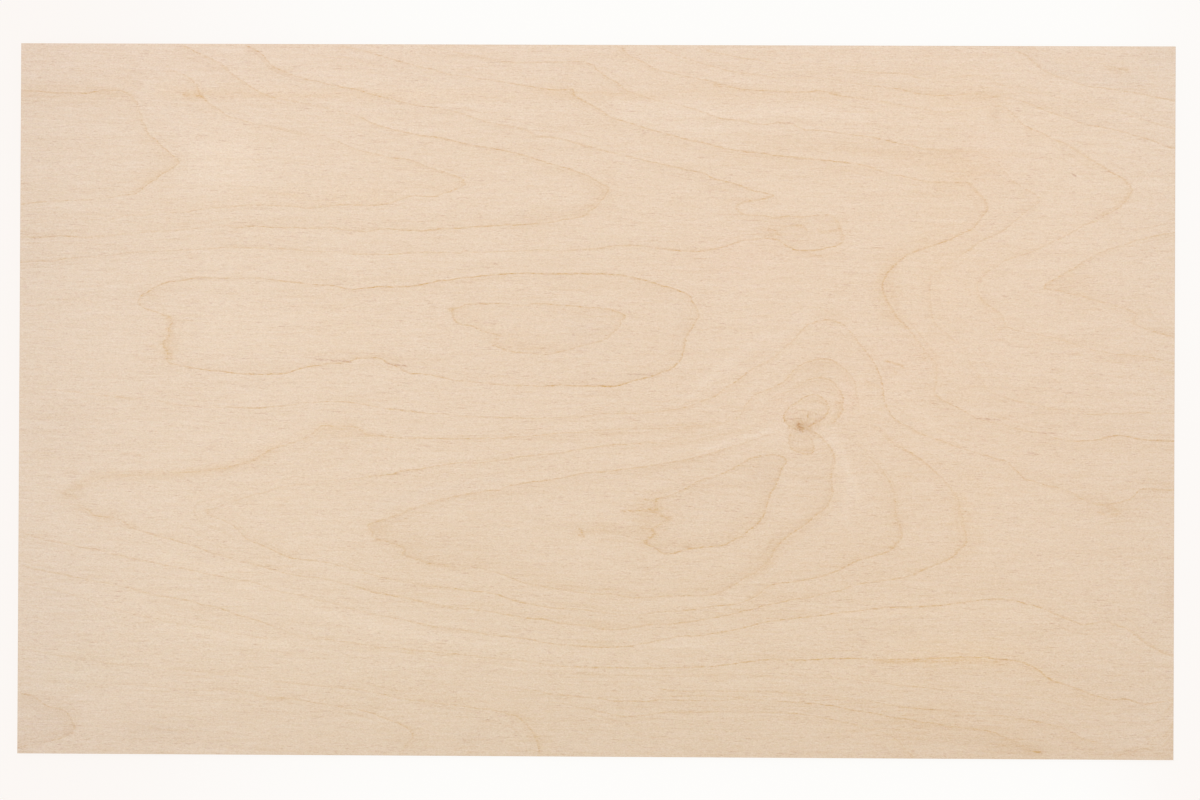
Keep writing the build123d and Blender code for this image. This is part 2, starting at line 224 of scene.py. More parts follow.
    ("arrow, third", -1, 0.81, (2.7, 1.7), """
        329.8,141.2,0.2 326.5,139.6 322.4,138.2 318.1,137.0 313.7,135.6 309.4,133.9,0.4 305.2,132.8 301.0,131.4
        296.7,129.9 292.4,129.0 288.1,127.6,0.7 283.9,126.8 277.3,125.8 271.0,124.6 264.6,123.7,0.6 260.3,123.2
        253.8,122.3 249.6,121.9 243.1,121.5,0.7 238.8,120.6 234.6,119.7 230.3,118.8 226.0,118.1 219.6,117.5,0.7
        215.3,116.6 211.9,116.1 208.9,115.3 206.8,114.0 202.5,113.8 198.2,113.1,0.7 193.9,112.4 189.6,111.7
        185.4,110.8 181.2,109.8 176.9,108.4,0.5 172.7,107.1 169.3,106.1 166.3,105.1 164.1,103.5 160.6,102.6
        157.6,101.2,0.5 154.6,100.6 151.9,99.6 149.5,98.3 152.5,95.9 151.6,93.8 154.7,92.6,0.5 158.9,91.4 163.1,90.1
        165.1,89.1 165.9,87.6 164.4,85.9 168.3,85.0,0.7 172.6,83.5 176.9,82.1 180.4,81.5 185.5,80.9 191.9,80.5,0.3
        198.4,80.6 202.7,79.4 207.0,78.0 210.3,76.9,0.5 213.4,75.6 217.7,74.1 222.1,73.4 226.3,72.6 232.7,71.6,0.5
        239.2,70.6 245.6,69.7 249.8,69.6 256.2,69.6,0.5 262.7,68.3 269.1,68.1 275.4,68.6,0.5 279.8,69.0 286.2,69.1
        292.6,69.0 297.7,69.5,0.5 301.0,70.4 304.3,72.1 307.3,73.9 310.3,75.9 313.8,77.8,0.6 316.6,79.4 319.1,81.5
        321.3,84.1 323.4,86.1 324.6,89.2 326.3,91.4,0.7 328.6,93.5 331.7,96.0 335.3,98.2 339.7,101.6 341.7,103.8,0.7
        345.9,106.5 347.8,109.2 348.8,112.2 349.3,115.5 348.4,119.8,0.6 349.2,123.4 350.1,126.7 350.0,129.0
        349.0,131.5 346.9,134.2 344.6,137.0,0.4 341.7,139.2 338.6,140.3,0.4"""),
    ("ragged heart", 1, 1.25, (2.8, 0.7), """
        274.1,110.4,0.6 276.1,111.3 279.6,112.0 283.7,113.8 287.9,116.0 291.0,118.0,0.5 294.5,119.1 298.8,120.4
        303.1,122.1 307.4,124.2 311.7,126.8,0.5 313.8,128.1 316.8,128.7 320.2,129.4 324.5,129.7 328.0,128.8
        329.6,127.0,0.6 327.7,124.0 326.6,121.5 325.8,118.8 324.5,115.8 322.4,112.4 321.5,109.4,0.7 320.7,105.9
        319.4,103.0 318.0,101.0 315.8,98.9 312.9,96.8 310.4,94.6,0.6 307.4,93.3 304.4,91.4 301.1,90.6 296.8,90.1
        292.5,89.8,0.8 288.2,89.1 283.9,88.0 279.7,87.0 276.8,87.1 274.8,88.0,0.5 273.5,89.3 270.8,90.5 268.3,91.8
        267.3,92.4 269.7,92.9 270.9,93.8 273.5,95.5 271.1,96.7,0.3 273.2,98.5 276.2,100.5 279.6,102.0 276.9,103.1
        274.1,104.6 268.9,105.3,0.3 273.6,107.2 272.7,109.2 273.5,110.7,0.4"""),
    ("knot ring", 1, 1.05, (3.0, 0.1), """
        331.2,141.5,0.6 329.4,143.1 328.2,144.6 328.2,146.5 329.5,148.9 331.1,150.6 333.2,151.8 335.4,153.3
        337.4,154.6,0.75 340.2,155.4 342.6,155.3 345.1,153.9 346.6,152.1 347.3,149.8 346.7,147.4 344.7,145.1,0.5
        342.2,143.4 339.2,142.1,0.55"""),
    ("outer knot ring", 1, 1.0, (4.5, -0.2), """
        322.2,144.4,0.1 320.9,147.8 321.6,151.4 324.3,153.5 326.8,155.7 330.1,156.9 333.6,158.6,0.3 337.3,161.1
        341.4,162.8 345.9,162.5 348.9,161.2 351.5,158.1,0.55 353.3,155.0 353.4,151.1 353.0,148.1 351.6,145.5
        349.7,143.8,0.6"""),
    ("lower knot ring", -1, 1.0, (4.4, 0.8), """
        331.4,139.3,0.45 330.5,136.3 330.5,133.4 332.7,131.4 336.1,130.3 339.0,129.8 340.7,130.8,0.65 341.1,133.5
        340.2,136.2 338.6,138.7,0.2"""),
    ("under arrow 1", -1, 1.02, (0.7, -0.3), """
        0.8,95.0,0.35 5.2,93.6 9.4,92.3 15.8,90.9 22.3,89.6,0.45 26.5,88.6 30.8,88.0 35.3,87.4 39.5,85.9 43.8,85.2,0.4
        50.2,83.7 56.8,82.6 63.2,81.0,0.4 69.7,79.9 76.2,78.6 80.4,77.5 84.7,77.0,0.45 89.0,75.8 95.4,74.8 102.0,73.9
        106.3,72.0,0.35 112.7,69.8 117.0,69.1 121.2,68.6 125.4,67.4,0.3 129.6,66.4 134.0,65.6 138.5,64.1 142.7,63.0
        147.1,61.8,0.3 153.5,60.2 159.9,59.3 164.2,58.4 170.6,57.2,0.4 174.9,56.3 181.4,55.0 187.8,54.3 194.3,53.4,0.4
        200.7,52.3 207.1,51.5 213.6,50.9,0.5 220.0,50.1 226.3,48.8 232.7,47.9,0.5 241.3,47.3 249.9,46.9 256.3,47.0,0.6
        262.7,47.4 266.9,48.2 273.4,49.5 279.7,50.9,0.4 284.1,51.8 288.4,52.0 294.8,52.4 301.2,53.5,0.5 307.7,54.7
        314.0,56.2 318.3,57.6 322.6,58.4,0.7 326.9,58.8 333.3,59.7 339.7,60.4 346.1,61.2,0.6 352.5,62.3 356.7,62.6
        363.1,63.5 369.6,64.2,0.5 373.8,64.7 378.1,64.7 386.7,65.0 393.1,65.3,0.7 399.5,66.2 403.8,66.6 410.1,67.5
        416.6,68.3,0.6 422.9,68.2 427.2,67.7 431.4,66.5 435.7,65.5,0.7 440.1,64.1 443.1,62.8 446.6,61.1 450.7,59.4
        454.1,58.2,0.6 457.1,57.7 461.3,58.3 464.3,58.8 467.7,58.5 471.1,57.2 474.2,56.2,0.5 477.3,54.4 480.6,51.7
        483.6,49.5 486.5,47.7 489.7,46.1,0.4 494.3,44.5,0.4"""),
    ("under arrow 2", 1, 1.07, (0.9, -0.9), """
        1.1,81.0,0.2 7.3,79.2 13.7,78.0 20.2,76.9,0.4 26.7,75.2 33.1,74.0 37.4,73.2 44.0,72.0,0.3 48.2,71.1 52.5,69.8
        56.8,68.6 63.3,67.5,0.5 69.7,66.6 73.9,65.8 78.4,64.4 82.7,63.7,0.5 87.0,62.8 93.4,60.2 99.8,58.5
        104.2,57.2,0.5 108.5,55.6 112.8,53.8 117.1,52.1 121.3,51.0,0.2 125.6,51.1 129.9,50.6 134.3,49.4 140.6,48.6,0.4
        147.1,47.7 155.6,46.4 164.3,45.7,0.4 170.7,45.2 177.1,44.8 183.6,44.0,0.4 190.0,43.6 196.4,42.9 202.8,42.0,0.3
        211.4,41.7 220.0,40.5 228.5,39.2,0.4 239.2,38.4 250.0,38.2,0.6 254.3,38.3 260.7,38.2 269.2,38.0,0.4 277.8,38.1
        284.2,38.4 290.6,38.7,0.6 297.0,38.8 301.3,39.4 307.7,40.2 312.0,40.9,0.7 316.2,41.4 320.6,41.9 324.8,42.2
        331.3,42.0,0.6 337.7,41.8 344.0,42.3 350.4,42.5,0.9 356.9,42.7 363.2,42.5 369.7,42.1,0.6 376.1,42.4 382.4,42.4
        386.8,42.5 391.1,42.9,0.6 397.4,43.3 401.7,43.5 408.1,43.4 414.6,43.5,0.6 418.8,42.9 423.0,42.7 427.4,42.1
        431.6,41.0 435.8,39.1,0.6 439.2,36.8 442.0,34.4 446.4,32.8 450.7,31.3 454.9,29.9,0.6 459.2,28.2 463.7,26.8
        467.9,25.6 472.2,25.9 476.5,25.6,0.5 480.7,24.1 484.5,23.9 488.4,24.7 494.1,25.5,0.3"""),
    ("under arrow 3", -1, 0.42, (0.8, -1.8), """
        1.1,73.7,0.4 9.4,71.2 15.9,70.2 20.2,68.9,0.6 24.6,67.7 28.9,66.3 33.2,64.5 37.5,62.8,0.6 44.0,61.7 48.3,60.5
        52.5,59.3 59.0,58.2,0.65 65.4,56.5 71.8,55.6 78.4,54.5,0.5 84.8,53.4 93.4,52.0 99.9,50.8,0.35 108.4,49.5
        117.1,48.3 125.6,47.2,0.1 134.1,46.0 142.8,45.1 149.2,44.7,0.3 155.6,45.3 164.3,44.3 172.8,42.8,0.2 181.3,41.1
        190.0,40.4 198.5,40.3,0.4 205.0,39.7 211.5,38.7 217.9,37.7,0.2 226.5,36.5 235.0,35.7 245.6,35.2,0.2 258.5,34.8
        271.3,34.8,0.4 284.2,34.6 297.0,35.1,0.5 309.9,35.3 316.3,36.0,0.4 320.5,36.5 326.9,36.0 335.6,35.4,0.4
        344.1,34.6 352.6,34.2 361.2,33.4,0.6 367.7,33.0 374.1,31.8 380.4,31.0,0.7 386.9,30.5 393.2,29.7 399.6,29.0,0.5
        408.1,28.3 416.7,27.9 425.3,27.0,0.5 433.8,26.2 440.2,25.6 444.5,24.8,0.5 448.8,23.7 455.0,22.1 461.5,20.4
        467.9,19.1,0.3 474.3,17.8 479.9,17.6,0.4"""),
    ("bottom loop 1", -1, 0.72, (2.7, -0.9), """
        1.6,44.7,0.4 9.8,43.7 16.1,42.2 22.5,41.3,0.3 29.0,40.5 35.5,39.4 44.0,38.6,0.3 52.6,37.8 61.2,37.1
        69.9,36.2,0.3 78.4,35.4 84.9,34.5 93.5,33.7,0.4 99.9,33.0 106.4,32.1 112.9,31.3,0.4 119.3,30.5 125.7,29.9
        134.3,29.3,0.45 140.7,28.7 147.2,28.1 153.6,26.8,0.55 160.2,25.5 164.4,24.3 172.9,23.5,0.7 181.5,22.5 190.1,21.4
        198.7,20.2,0.75 203.0,19.9 207.3,18.8 211.5,18.0 215.1,16.6 218.2,13.9,0.6 221.0,10.4 223.0,6.9 224.0,3.9
        223.5,0.2,0.6"""),
    ("bottom loop 2", -1, 0.79, (2.5, -0.0), """
        35.4,29.6,0.1 44.1,30.0 52.6,29.5 61.3,28.9,0.3 69.9,27.9 78.4,27.4 87.1,27.7,0.4 95.7,26.8 102.2,25.6
        107.7,24.5,0.4 115.0,24.3 121.5,23.4 127.9,22.4,0.5 134.4,21.6 140.8,20.5 145.1,19.9 151.6,18.4,0.65 155.9,16.7
        160.2,15.0 164.4,13.5 167.4,12.1 169.5,10.0,0.65 169.8,8.0 168.5,6.1 166.4,4.1 165.5,1.9 164.7,0.1,0.3"""),
    ("corner loop", 1, 1.06, (3.7, 2.9), """
        1.9,25.5,0.6 5.2,25.1 8.0,23.8 10.7,21.8 14.0,19.8 17.4,19.6 20.8,18.1,0.4 22.6,16.0 23.9,13.6 25.0,11.5
        24.0,9.4 21.3,7.5 18.0,6.4,0.4 14.0,5.2 8.6,4.0 3.2,3.2 0.3,2.4,0.4"""),
    ("bottom 1", 1, 1.02, (1.0, 1.0), """
        198.6,30.9,0.2 207.2,30.1 215.6,28.9 222.2,28.2,0.4 228.6,26.8 235.0,26.3 241.5,25.6,0.4 250.0,25.0 256.4,23.9
        262.8,24.0,0.8 269.3,23.7 275.7,24.5 282.1,24.5,0.6 288.5,24.3 294.9,24.2 301.4,24.4,0.4 309.9,25.1 316.3,24.7
        322.7,24.4,0.4 329.2,24.1 335.6,23.7 339.9,23.3 346.3,22.8,0.7 352.7,21.8 356.9,20.8 363.4,19.8 369.8,18.9,0.6
        374.1,17.8 378.3,17.2 382.6,16.7 386.8,15.8 393.2,15.2,0.4 399.4,13.8 403.7,13.5 407.9,13.2 414.3,12.2,0.5
        418.6,11.4 421.9,9.7 424.7,8.5 428.2,7.3 431.1,5.3,0.2 433.5,3.6,0.2"""),
    ("bottom 2", 1, 0.75, (0.8, -0.5), """
        228.6,23.3,0.2 235.1,22.5 241.5,21.1 246.7,20.3,0.4 252.2,19.0 256.4,17.9 262.8,17.3 269.3,17.9,0.6 273.6,18.5
        277.8,19.2 284.2,19.3 292.8,19.4,0.6 301.4,19.6 309.9,20.0 316.3,19.5,0.2 322.8,19.2 329.2,19.5 335.6,18.7,0.6
        342.0,17.9 348.5,16.6 354.8,15.3,0.6 361.1,13.7 365.3,12.5 369.5,11.3 374.5,9.9,0.4 376.5,8.3 378.5,6.7
        380.7,3.8 383.6,1.2,0.5"""),
    ("bottom 3", 1, 0.75, (2.6, -0.4), """
        275.6,29.2,0.5 284.2,28.3 292.7,28.4 301.4,28.4,0.5 312.0,28.5 318.4,28.5 324.9,28.2,0.4 331.3,27.6 339.9,27.0
        344.1,26.9,0.4 352.7,26.1 359.1,25.3 365.5,24.4,0.4 371.9,23.4 378.3,22.3 382.6,21.7 389.0,21.2,0.4 395.4,20.8
        401.8,20.1 408.1,18.7,0.2 414.5,18.8 421.1,18.6 427.5,17.5,0.5 433.8,16.7 440.2,15.5 446.4,14.0,0.5 450.5,12.2
        454.5,9.9 458.7,8.1 463.7,7.4,0.5"""),
    ("corner 1", 1, 0.79, (3.4, 0.5), """
        470.7,1.6,0.5 477.5,3.7 481.9,5.0 486.1,5.5 490.3,5.6 495.1,13.0,0.4"""),
    ("corner 2", 1, 0.80, (3.6, -0.1), """
        484.3,9.1,0.4 488.3,10.0 491.5,10.7 495.2,17.4,0.4"""),
    ("right wedge", -1, 1.04, (2.0, 1.4), """
        495.0,225.6,0.8 490.4,224.8 486.2,223.7 482.0,222.8 477.9,221.9,0.4 473.7,220.2 469.4,219.0 465.3,217.6
        460.9,215.7,0.4 457.2,213.5 454.2,211.7 451.1,209.3 447.2,207.5 443.7,205.1,0.5 440.7,203.5 438.4,202.3
        441.0,200.9 446.1,200.3 450.3,199.0,0.4 454.6,198.2 458.9,196.8 463.2,195.6 467.5,194.8 471.7,193.5,0.3
        476.0,191.8 479.0,190.1 476.7,188.1 476.3,186.9 479.4,185.3 483.7,183.7,0.5 488.6,182.3 494.5,180.8,0.6"""),
)

# Short marks drawn with the fibres: 1 for a grey-purple mineral dash and 0 for an ochre
# fleck, then strength, width in millimetres, and points.
MARKS = (
    (1, 2.2, 0.34, "128.4,169.6 133.6,169.3 142.1,168.8"),
    (1, 0.6, 0.3, "122.0,170.6 125.4,170.4 128.4,169.8"),
    (1, 2.2, 0.34, "157.7,168.0 161.5,167.3 165.8,167.1"),
    (1, 0.5, 0.3, "165.8,167.0 174.4,166.4 180.8,165.9"),
    (1, 0.9, 0.3, "74.7,172.0 80.7,171.5"),
    (1, 0.28, 0.3, "80.7,171.5 92.7,171.0 104.3,170.1 120.7,170.0"),
    (1, 1.3, 0.32, "261.4,163.8 266.5,163.9 271.6,163.3"),
    (1, 1.9, 0.34, "411.2,145.6 416.3,145.2 420.6,144.8"),
    (1, 1.3, 0.3, "436.8,139.5 441.1,139.4 444.5,139.4"),
    (1, 2.0, 0.4, "433.0,131.0 434.6,130.6 436.4,130.4"),
    (1, 1.2, 0.3, "326.1,271.6 329.1,271.8 331.6,271.6"),
    (1, 1.3, 0.4, "428.2,45.3 430.7,45.2"),
    (1, 1.2, 0.35, "386.6,108.2 389.0,107.6"),
    (1, 1.2, 0.35, "72.4,117.4 74.2,117.0"),
    (1, 1.2, 0.3, "88.2,223.1 90.7,222.9"),
    (1, 1.4, 0.35, "135.9,216.9 137.2,216.5"),
    (1, 1.0, 0.35, "202.9,211.2 205.0,210.8"),
    (1, 0.9, 0.3, "198.6,209.4 201.2,209.2"),
    (1, 0.9, 0.3, "175.5,194.0 178.5,193.6"),
    (1, 0.9, 0.3, "177.2,192.3 179.4,192.1"),
    (1, 1.1, 0.35, "354.1,202.6 355.8,202.4"),
    (1, 1.0, 0.35, "482.2,202.4 484.3,202.2"),
    (1, 1.1, 0.4, "174.1,132.7 176.7,132.5"),
    (1, 0.9, 0.35, "204.7,99.4 206.0,99.0"),
    (1, 2.6, 0.32, "451.6,249.9 452.3,249.7"),
    (1, 1.0, 0.35, "390.1,72.1 392.2,71.7"),
    (1, 0.9, 0.35, "446.5,40.1 448.2,39.9"),
    (1, 0.8, 0.35, "426.4,48.2 427.7,47.9"),
    (1, 0.8, 0.35, "390.6,34.3 392.7,34.3"),
    (1, 1.1, 0.4, "228.3,44.7 228.9,44.4"),
    (1, 0.9, 0.4, "191.1,7.1 192.8,6.3"),
    (1, 1.1, 0.35, "251.1,171.8 253.2,171.2"),
    (1, 0.9, 0.35, "218.2,54.0 220.3,53.8"),
    (1, 0.9, 0.3, "39.1,148.1 41.7,147.9"),
    (1, 0.8, 0.35, "96.4,42.9 97.6,42.5"),
    (1, 0.8, 0.3, "76.8,31.3 78.9,31.0"),
    (1, 0.8, 0.35, "104.5,9.4 105.7,9.2"),
    (1, 0.9, 0.35, "92.3,3.9 95.2,3.5"),
    (1, 0.9, 0.3, "475.5,31.6 477.2,31.3"),
    (1, 0.8, 0.35, "18.7,180.5 20.8,180.1"),
    (1, 0.8, 0.3, "20.0,183.1 23.4,182.8"),
    (1, 0.8, 0.35, "332.9,2.4 334.6,2.0"),
    (1, 0.9, 0.4, "311.6,2.1 314.2,1.8"),
    (1, 0.8, 0.3, "457.2,39.6 458.9,39.4"),
    (1, 0.8, 0.35, "480.5,38.0 481.8,37.9"),
    (1, 0.7, 0.3, "270.6,221.0 274.9,221.4"),
    (1, 0.8, 0.35, "263.2,228.6 265.4,228.4"),
    (1, 0.8, 0.35, "294.1,227.5 297.1,227.1"),
    (0, 1.0, 0.6, "464.2,296.6 467.3,295.9 470.7,295.5 474.7,295.2"),
    (0, 0.75, 0.6, "466.6,294.7 469.2,294.1 471.8,293.8"),
    (0, 1.5, 0.5, "371.7,170.0 374.8,169.2 379.1,167.8"),
    (0, 0.5, 0.5, "362.9,160.9 365.8,160.1 369.2,158.8"),
    (0, 0.8, 0.5, "395.1,220.8 398.5,221.2"),
    (0, 0.9, 0.5, "406.6,226.6 409.6,225.9"),
    (0, 0.8, 0.6, "404.9,216.5 407.9,218.0"),
    (0, 1.4, 0.6, "259.1,105.2 264.7,105.5 271.1,105.7 275.8,106.2"),
    (0, 0.7, 0.8, "268.1,109.8 271.1,110.0 274.1,109.1"),
    (0, 0.8, 0.75, "273.2,103.8 277.1,102.5 280.1,101.9"),
    (0, 0.65, 0.7, "267.7,97.8 270.7,97.4 273.3,96.9"),
    (0, 0.9, 0.7, "270.7,93.8 272.0,94.6 274.1,95.0"),
    (0, 1.3, 0.5, "240.7,97.8 241.6,96.6 242.5,94.9"),
    (0, 0.9, 0.5, "240.2,94.7 242.8,94.3"),
    (0, 0.8, 0.5, "106.8,23.9 110.7,23.7 116.3,23.8"),
    (0, 1.7, 0.55, "435.7,3.2 438.6,3.0"),
    (0, 0.75, 0.6, "371.8,41.3 378.2,41.3 386.8,41.5 395.3,41.5 403.9,41.9 414.5,41.7 420.1,41.5"),
    (0, 0.8, 0.55, "316.8,226.5 321.1,226.3 324.1,225.9 325.3,223.9"),
    (0, 0.6, 0.55, "318.9,223.2 323.2,223.1"),
    (0, 0.8, 0.55, "327.0,226.9 330.1,227.6 333.5,227.8 334.8,227.4"),
    (0, 1.0, 0.6, "333.9,227.8 336.0,227.2 337.4,226.1"),
    (0, 0.8, 0.6, "342.5,225.7 346.7,225.1 351.0,226.0 352.3,227.3"),
    (0, 0.6, 0.5, "322.7,230.8 326.7,231.2 330.5,231.6"),
    (0, 0.9, 0.5, "339.1,215.3 341.2,214.9 343.8,214.9"),
    (0, 0.5, 0.5, "19.0,194.6 26.0,194.5 31.1,194.3"),
    (0, 0.5, 0.5, "56.4,11.2 61.6,10.6 72.3,10.5 80.9,9.8"),
    (0, 0.55, 0.45, "24.0,15.3 29.1,15.2 33.9,15.2"),
    (0, 0.55, 0.4, "296.7,117.0 303.1,116.2 308.7,116.0"),
    (0, 0.55, 0.4, "441.8,166.9 447.0,166.5"),
    (0, 0.65, 0.55, "43.6,128.6 47.9,128.9 52.1,128.3"),
    (0, 0.6, 0.45, "181.4,43.2 184.8,43.4 189.1,43.2"),
    (0, 1.4, 0.8, "70.2,283.2 72.8,282.5"),
    (0, 1.5, 0.8, "74.9,282.8 78.4,282.3"),
    (0, 1.0, 0.8, "297.2,288.2 301.1,287.6"),
    (0, 1.0, 0.8, "347.8,284.6 351.6,284.0"),
    (0, 0.6, 0.5, "420.5,145.8 424.8,145.0"),
    (0, 0.55, 0.5, "1.2,192.9 6.7,192.2 11.3,193.1"),
    (0, 0.5, 0.5, "250.0,25.5 258.5,25.2 267.2,25.0"),
    (0, 0.6, 0.5, "486.5,15.8 490.4,17.7 495.2,25.9"),
    (0, 0.5, 0.5, "223.2,267.8 226.2,268.4"),
    (0, 0.45, 0.4, "292.2,182.4 297.3,183.7 301.6,184.2"),
    (0, 0.5, 0.45, "2.3,129.1 6.6,129.7 13.4,128.1"),
    (0, 0.45, 0.45, "107.7,175.1 113.7,175.3 118.9,174.7"),
    (0, 0.7, 0.6, "463.3,109.4 468.5,107.5 471.9,105.8"),
    (0, 0.8, 0.7, "462.5,105.4 466.7,104.4 471.0,104.6"),
    (0, 0.6, 0.5, "60.5,175.5 63.0,176.4"),
    (0, 0.8, 0.6, "61.7,171.9 65.2,171.4"),
    (0, 0.7, 0.6, "62.2,174.4 64.8,174.3"),
    (0, 0.8, 0.6, "63.1,169.7 65.3,169.3"),
    (0, 0.7, 0.5, "63.0,182.4 65.1,181.7"),
    (0, 0.8, 0.5, "61.7,187.4 66.0,187.1"),
    (0, 0.7, 0.5, "54.0,175.6 58.3,174.8"),
    (0, 0.5, 0.5, "51.9,169.2 57.0,168.4 61.8,168.0"),
    (0, 0.4, 1.1, "23.4,116.1 25.5,115.2 27.2,114.4"),
    (0, 0.4, 1.1, "19.5,111.3 22.1,110.6 24.7,110.1"),
    (0, 0.6, 0.6, "35.0,102.4 37.6,101.6 40.6,101.1"),
    (0, 0.8, 0.6, "373.3,90.6 375.0,89.8"),
    (0, 0.8, 0.6, "375.0,93.0 376.8,91.2"),
    (0, 0.5, 0.7, "333.7,142.2 335.3,141.3 336.6,141.0"),
    (1, 1.5, 0.65, "334.1,142.2 335.0,141.4 336.0,141.0"),
    (0, 0.75, 0.6, "335.8,141.0 336.7,140.9"),
    (0, 0.8, 0.5, "332.7,142.7 333.7,143.7 335.2,144.0 336.4,143.2"),
    (1, 0.7, 0.5, "334.6,143.0 335.7,142.6"),
    (0, 0.8, 0.45, "333.0,140.9 333.7,139.5"),
    (1, 1.2, 0.45, "334.9,140.4 335.2,139.4"),
    (0, 0.8, 0.45, "336.2,140.3 336.4,139.3"),
    (0, 0.32, 0.75, "337.5,141.3 339.2,142.0 341.4,143.1 343.7,144.6"),
    (1, 0.75, 0.95, "338.7,142.2 340.5,142.9 342.7,144.2 344.5,145.6"),
    (0, 0.4, 0.5, "343.7,144.6 345.4,146.0 346.6,147.8"),
    (0, 1.5, 0.6, "338.6,146.0 338.8,148.0"),
    (1, 0.6, 0.6, "338.4,147.3 339.1,147.4"),
    (0, 1, 0.5, "219.0,59.4 222.4,59.0 226.1,58.7"),
    (0, 0.7, 0.45, "328.1,145.6 328.7,144.1"),
    (0, 0.8, 0.35, "348.5,139.3 349.5,139.4"),
    (0, 0.7, 0.45, "363.2,161.6 364.5,161.1"),
    (0, 0.7, 0.45, "366.2,160.1 367.9,159.7"),
    (0, 0.8, 0.45, "364.1,158.5 366.2,157.9"),
    (0, 0.6, 0.45, "374.8,165.7 376.5,165.3"),
    (0, 0.5, 0.45, "337.8,139.7 341.6,139.2 343.7,137.7"),
    (0, 0.55, 0.45, "343.7,137.7 345.9,135.5 349.1,131.2 350.2,127.5"),
    (1, 0.35, 0.8, "337.7,140.5 340.7,139.6"),
    (0, 0.6, 1.1, "350.4,151.9 352.6,152.1"),
    (0, 0.55, 1.1, "351.4,145.9 352.2,147.4"),
)

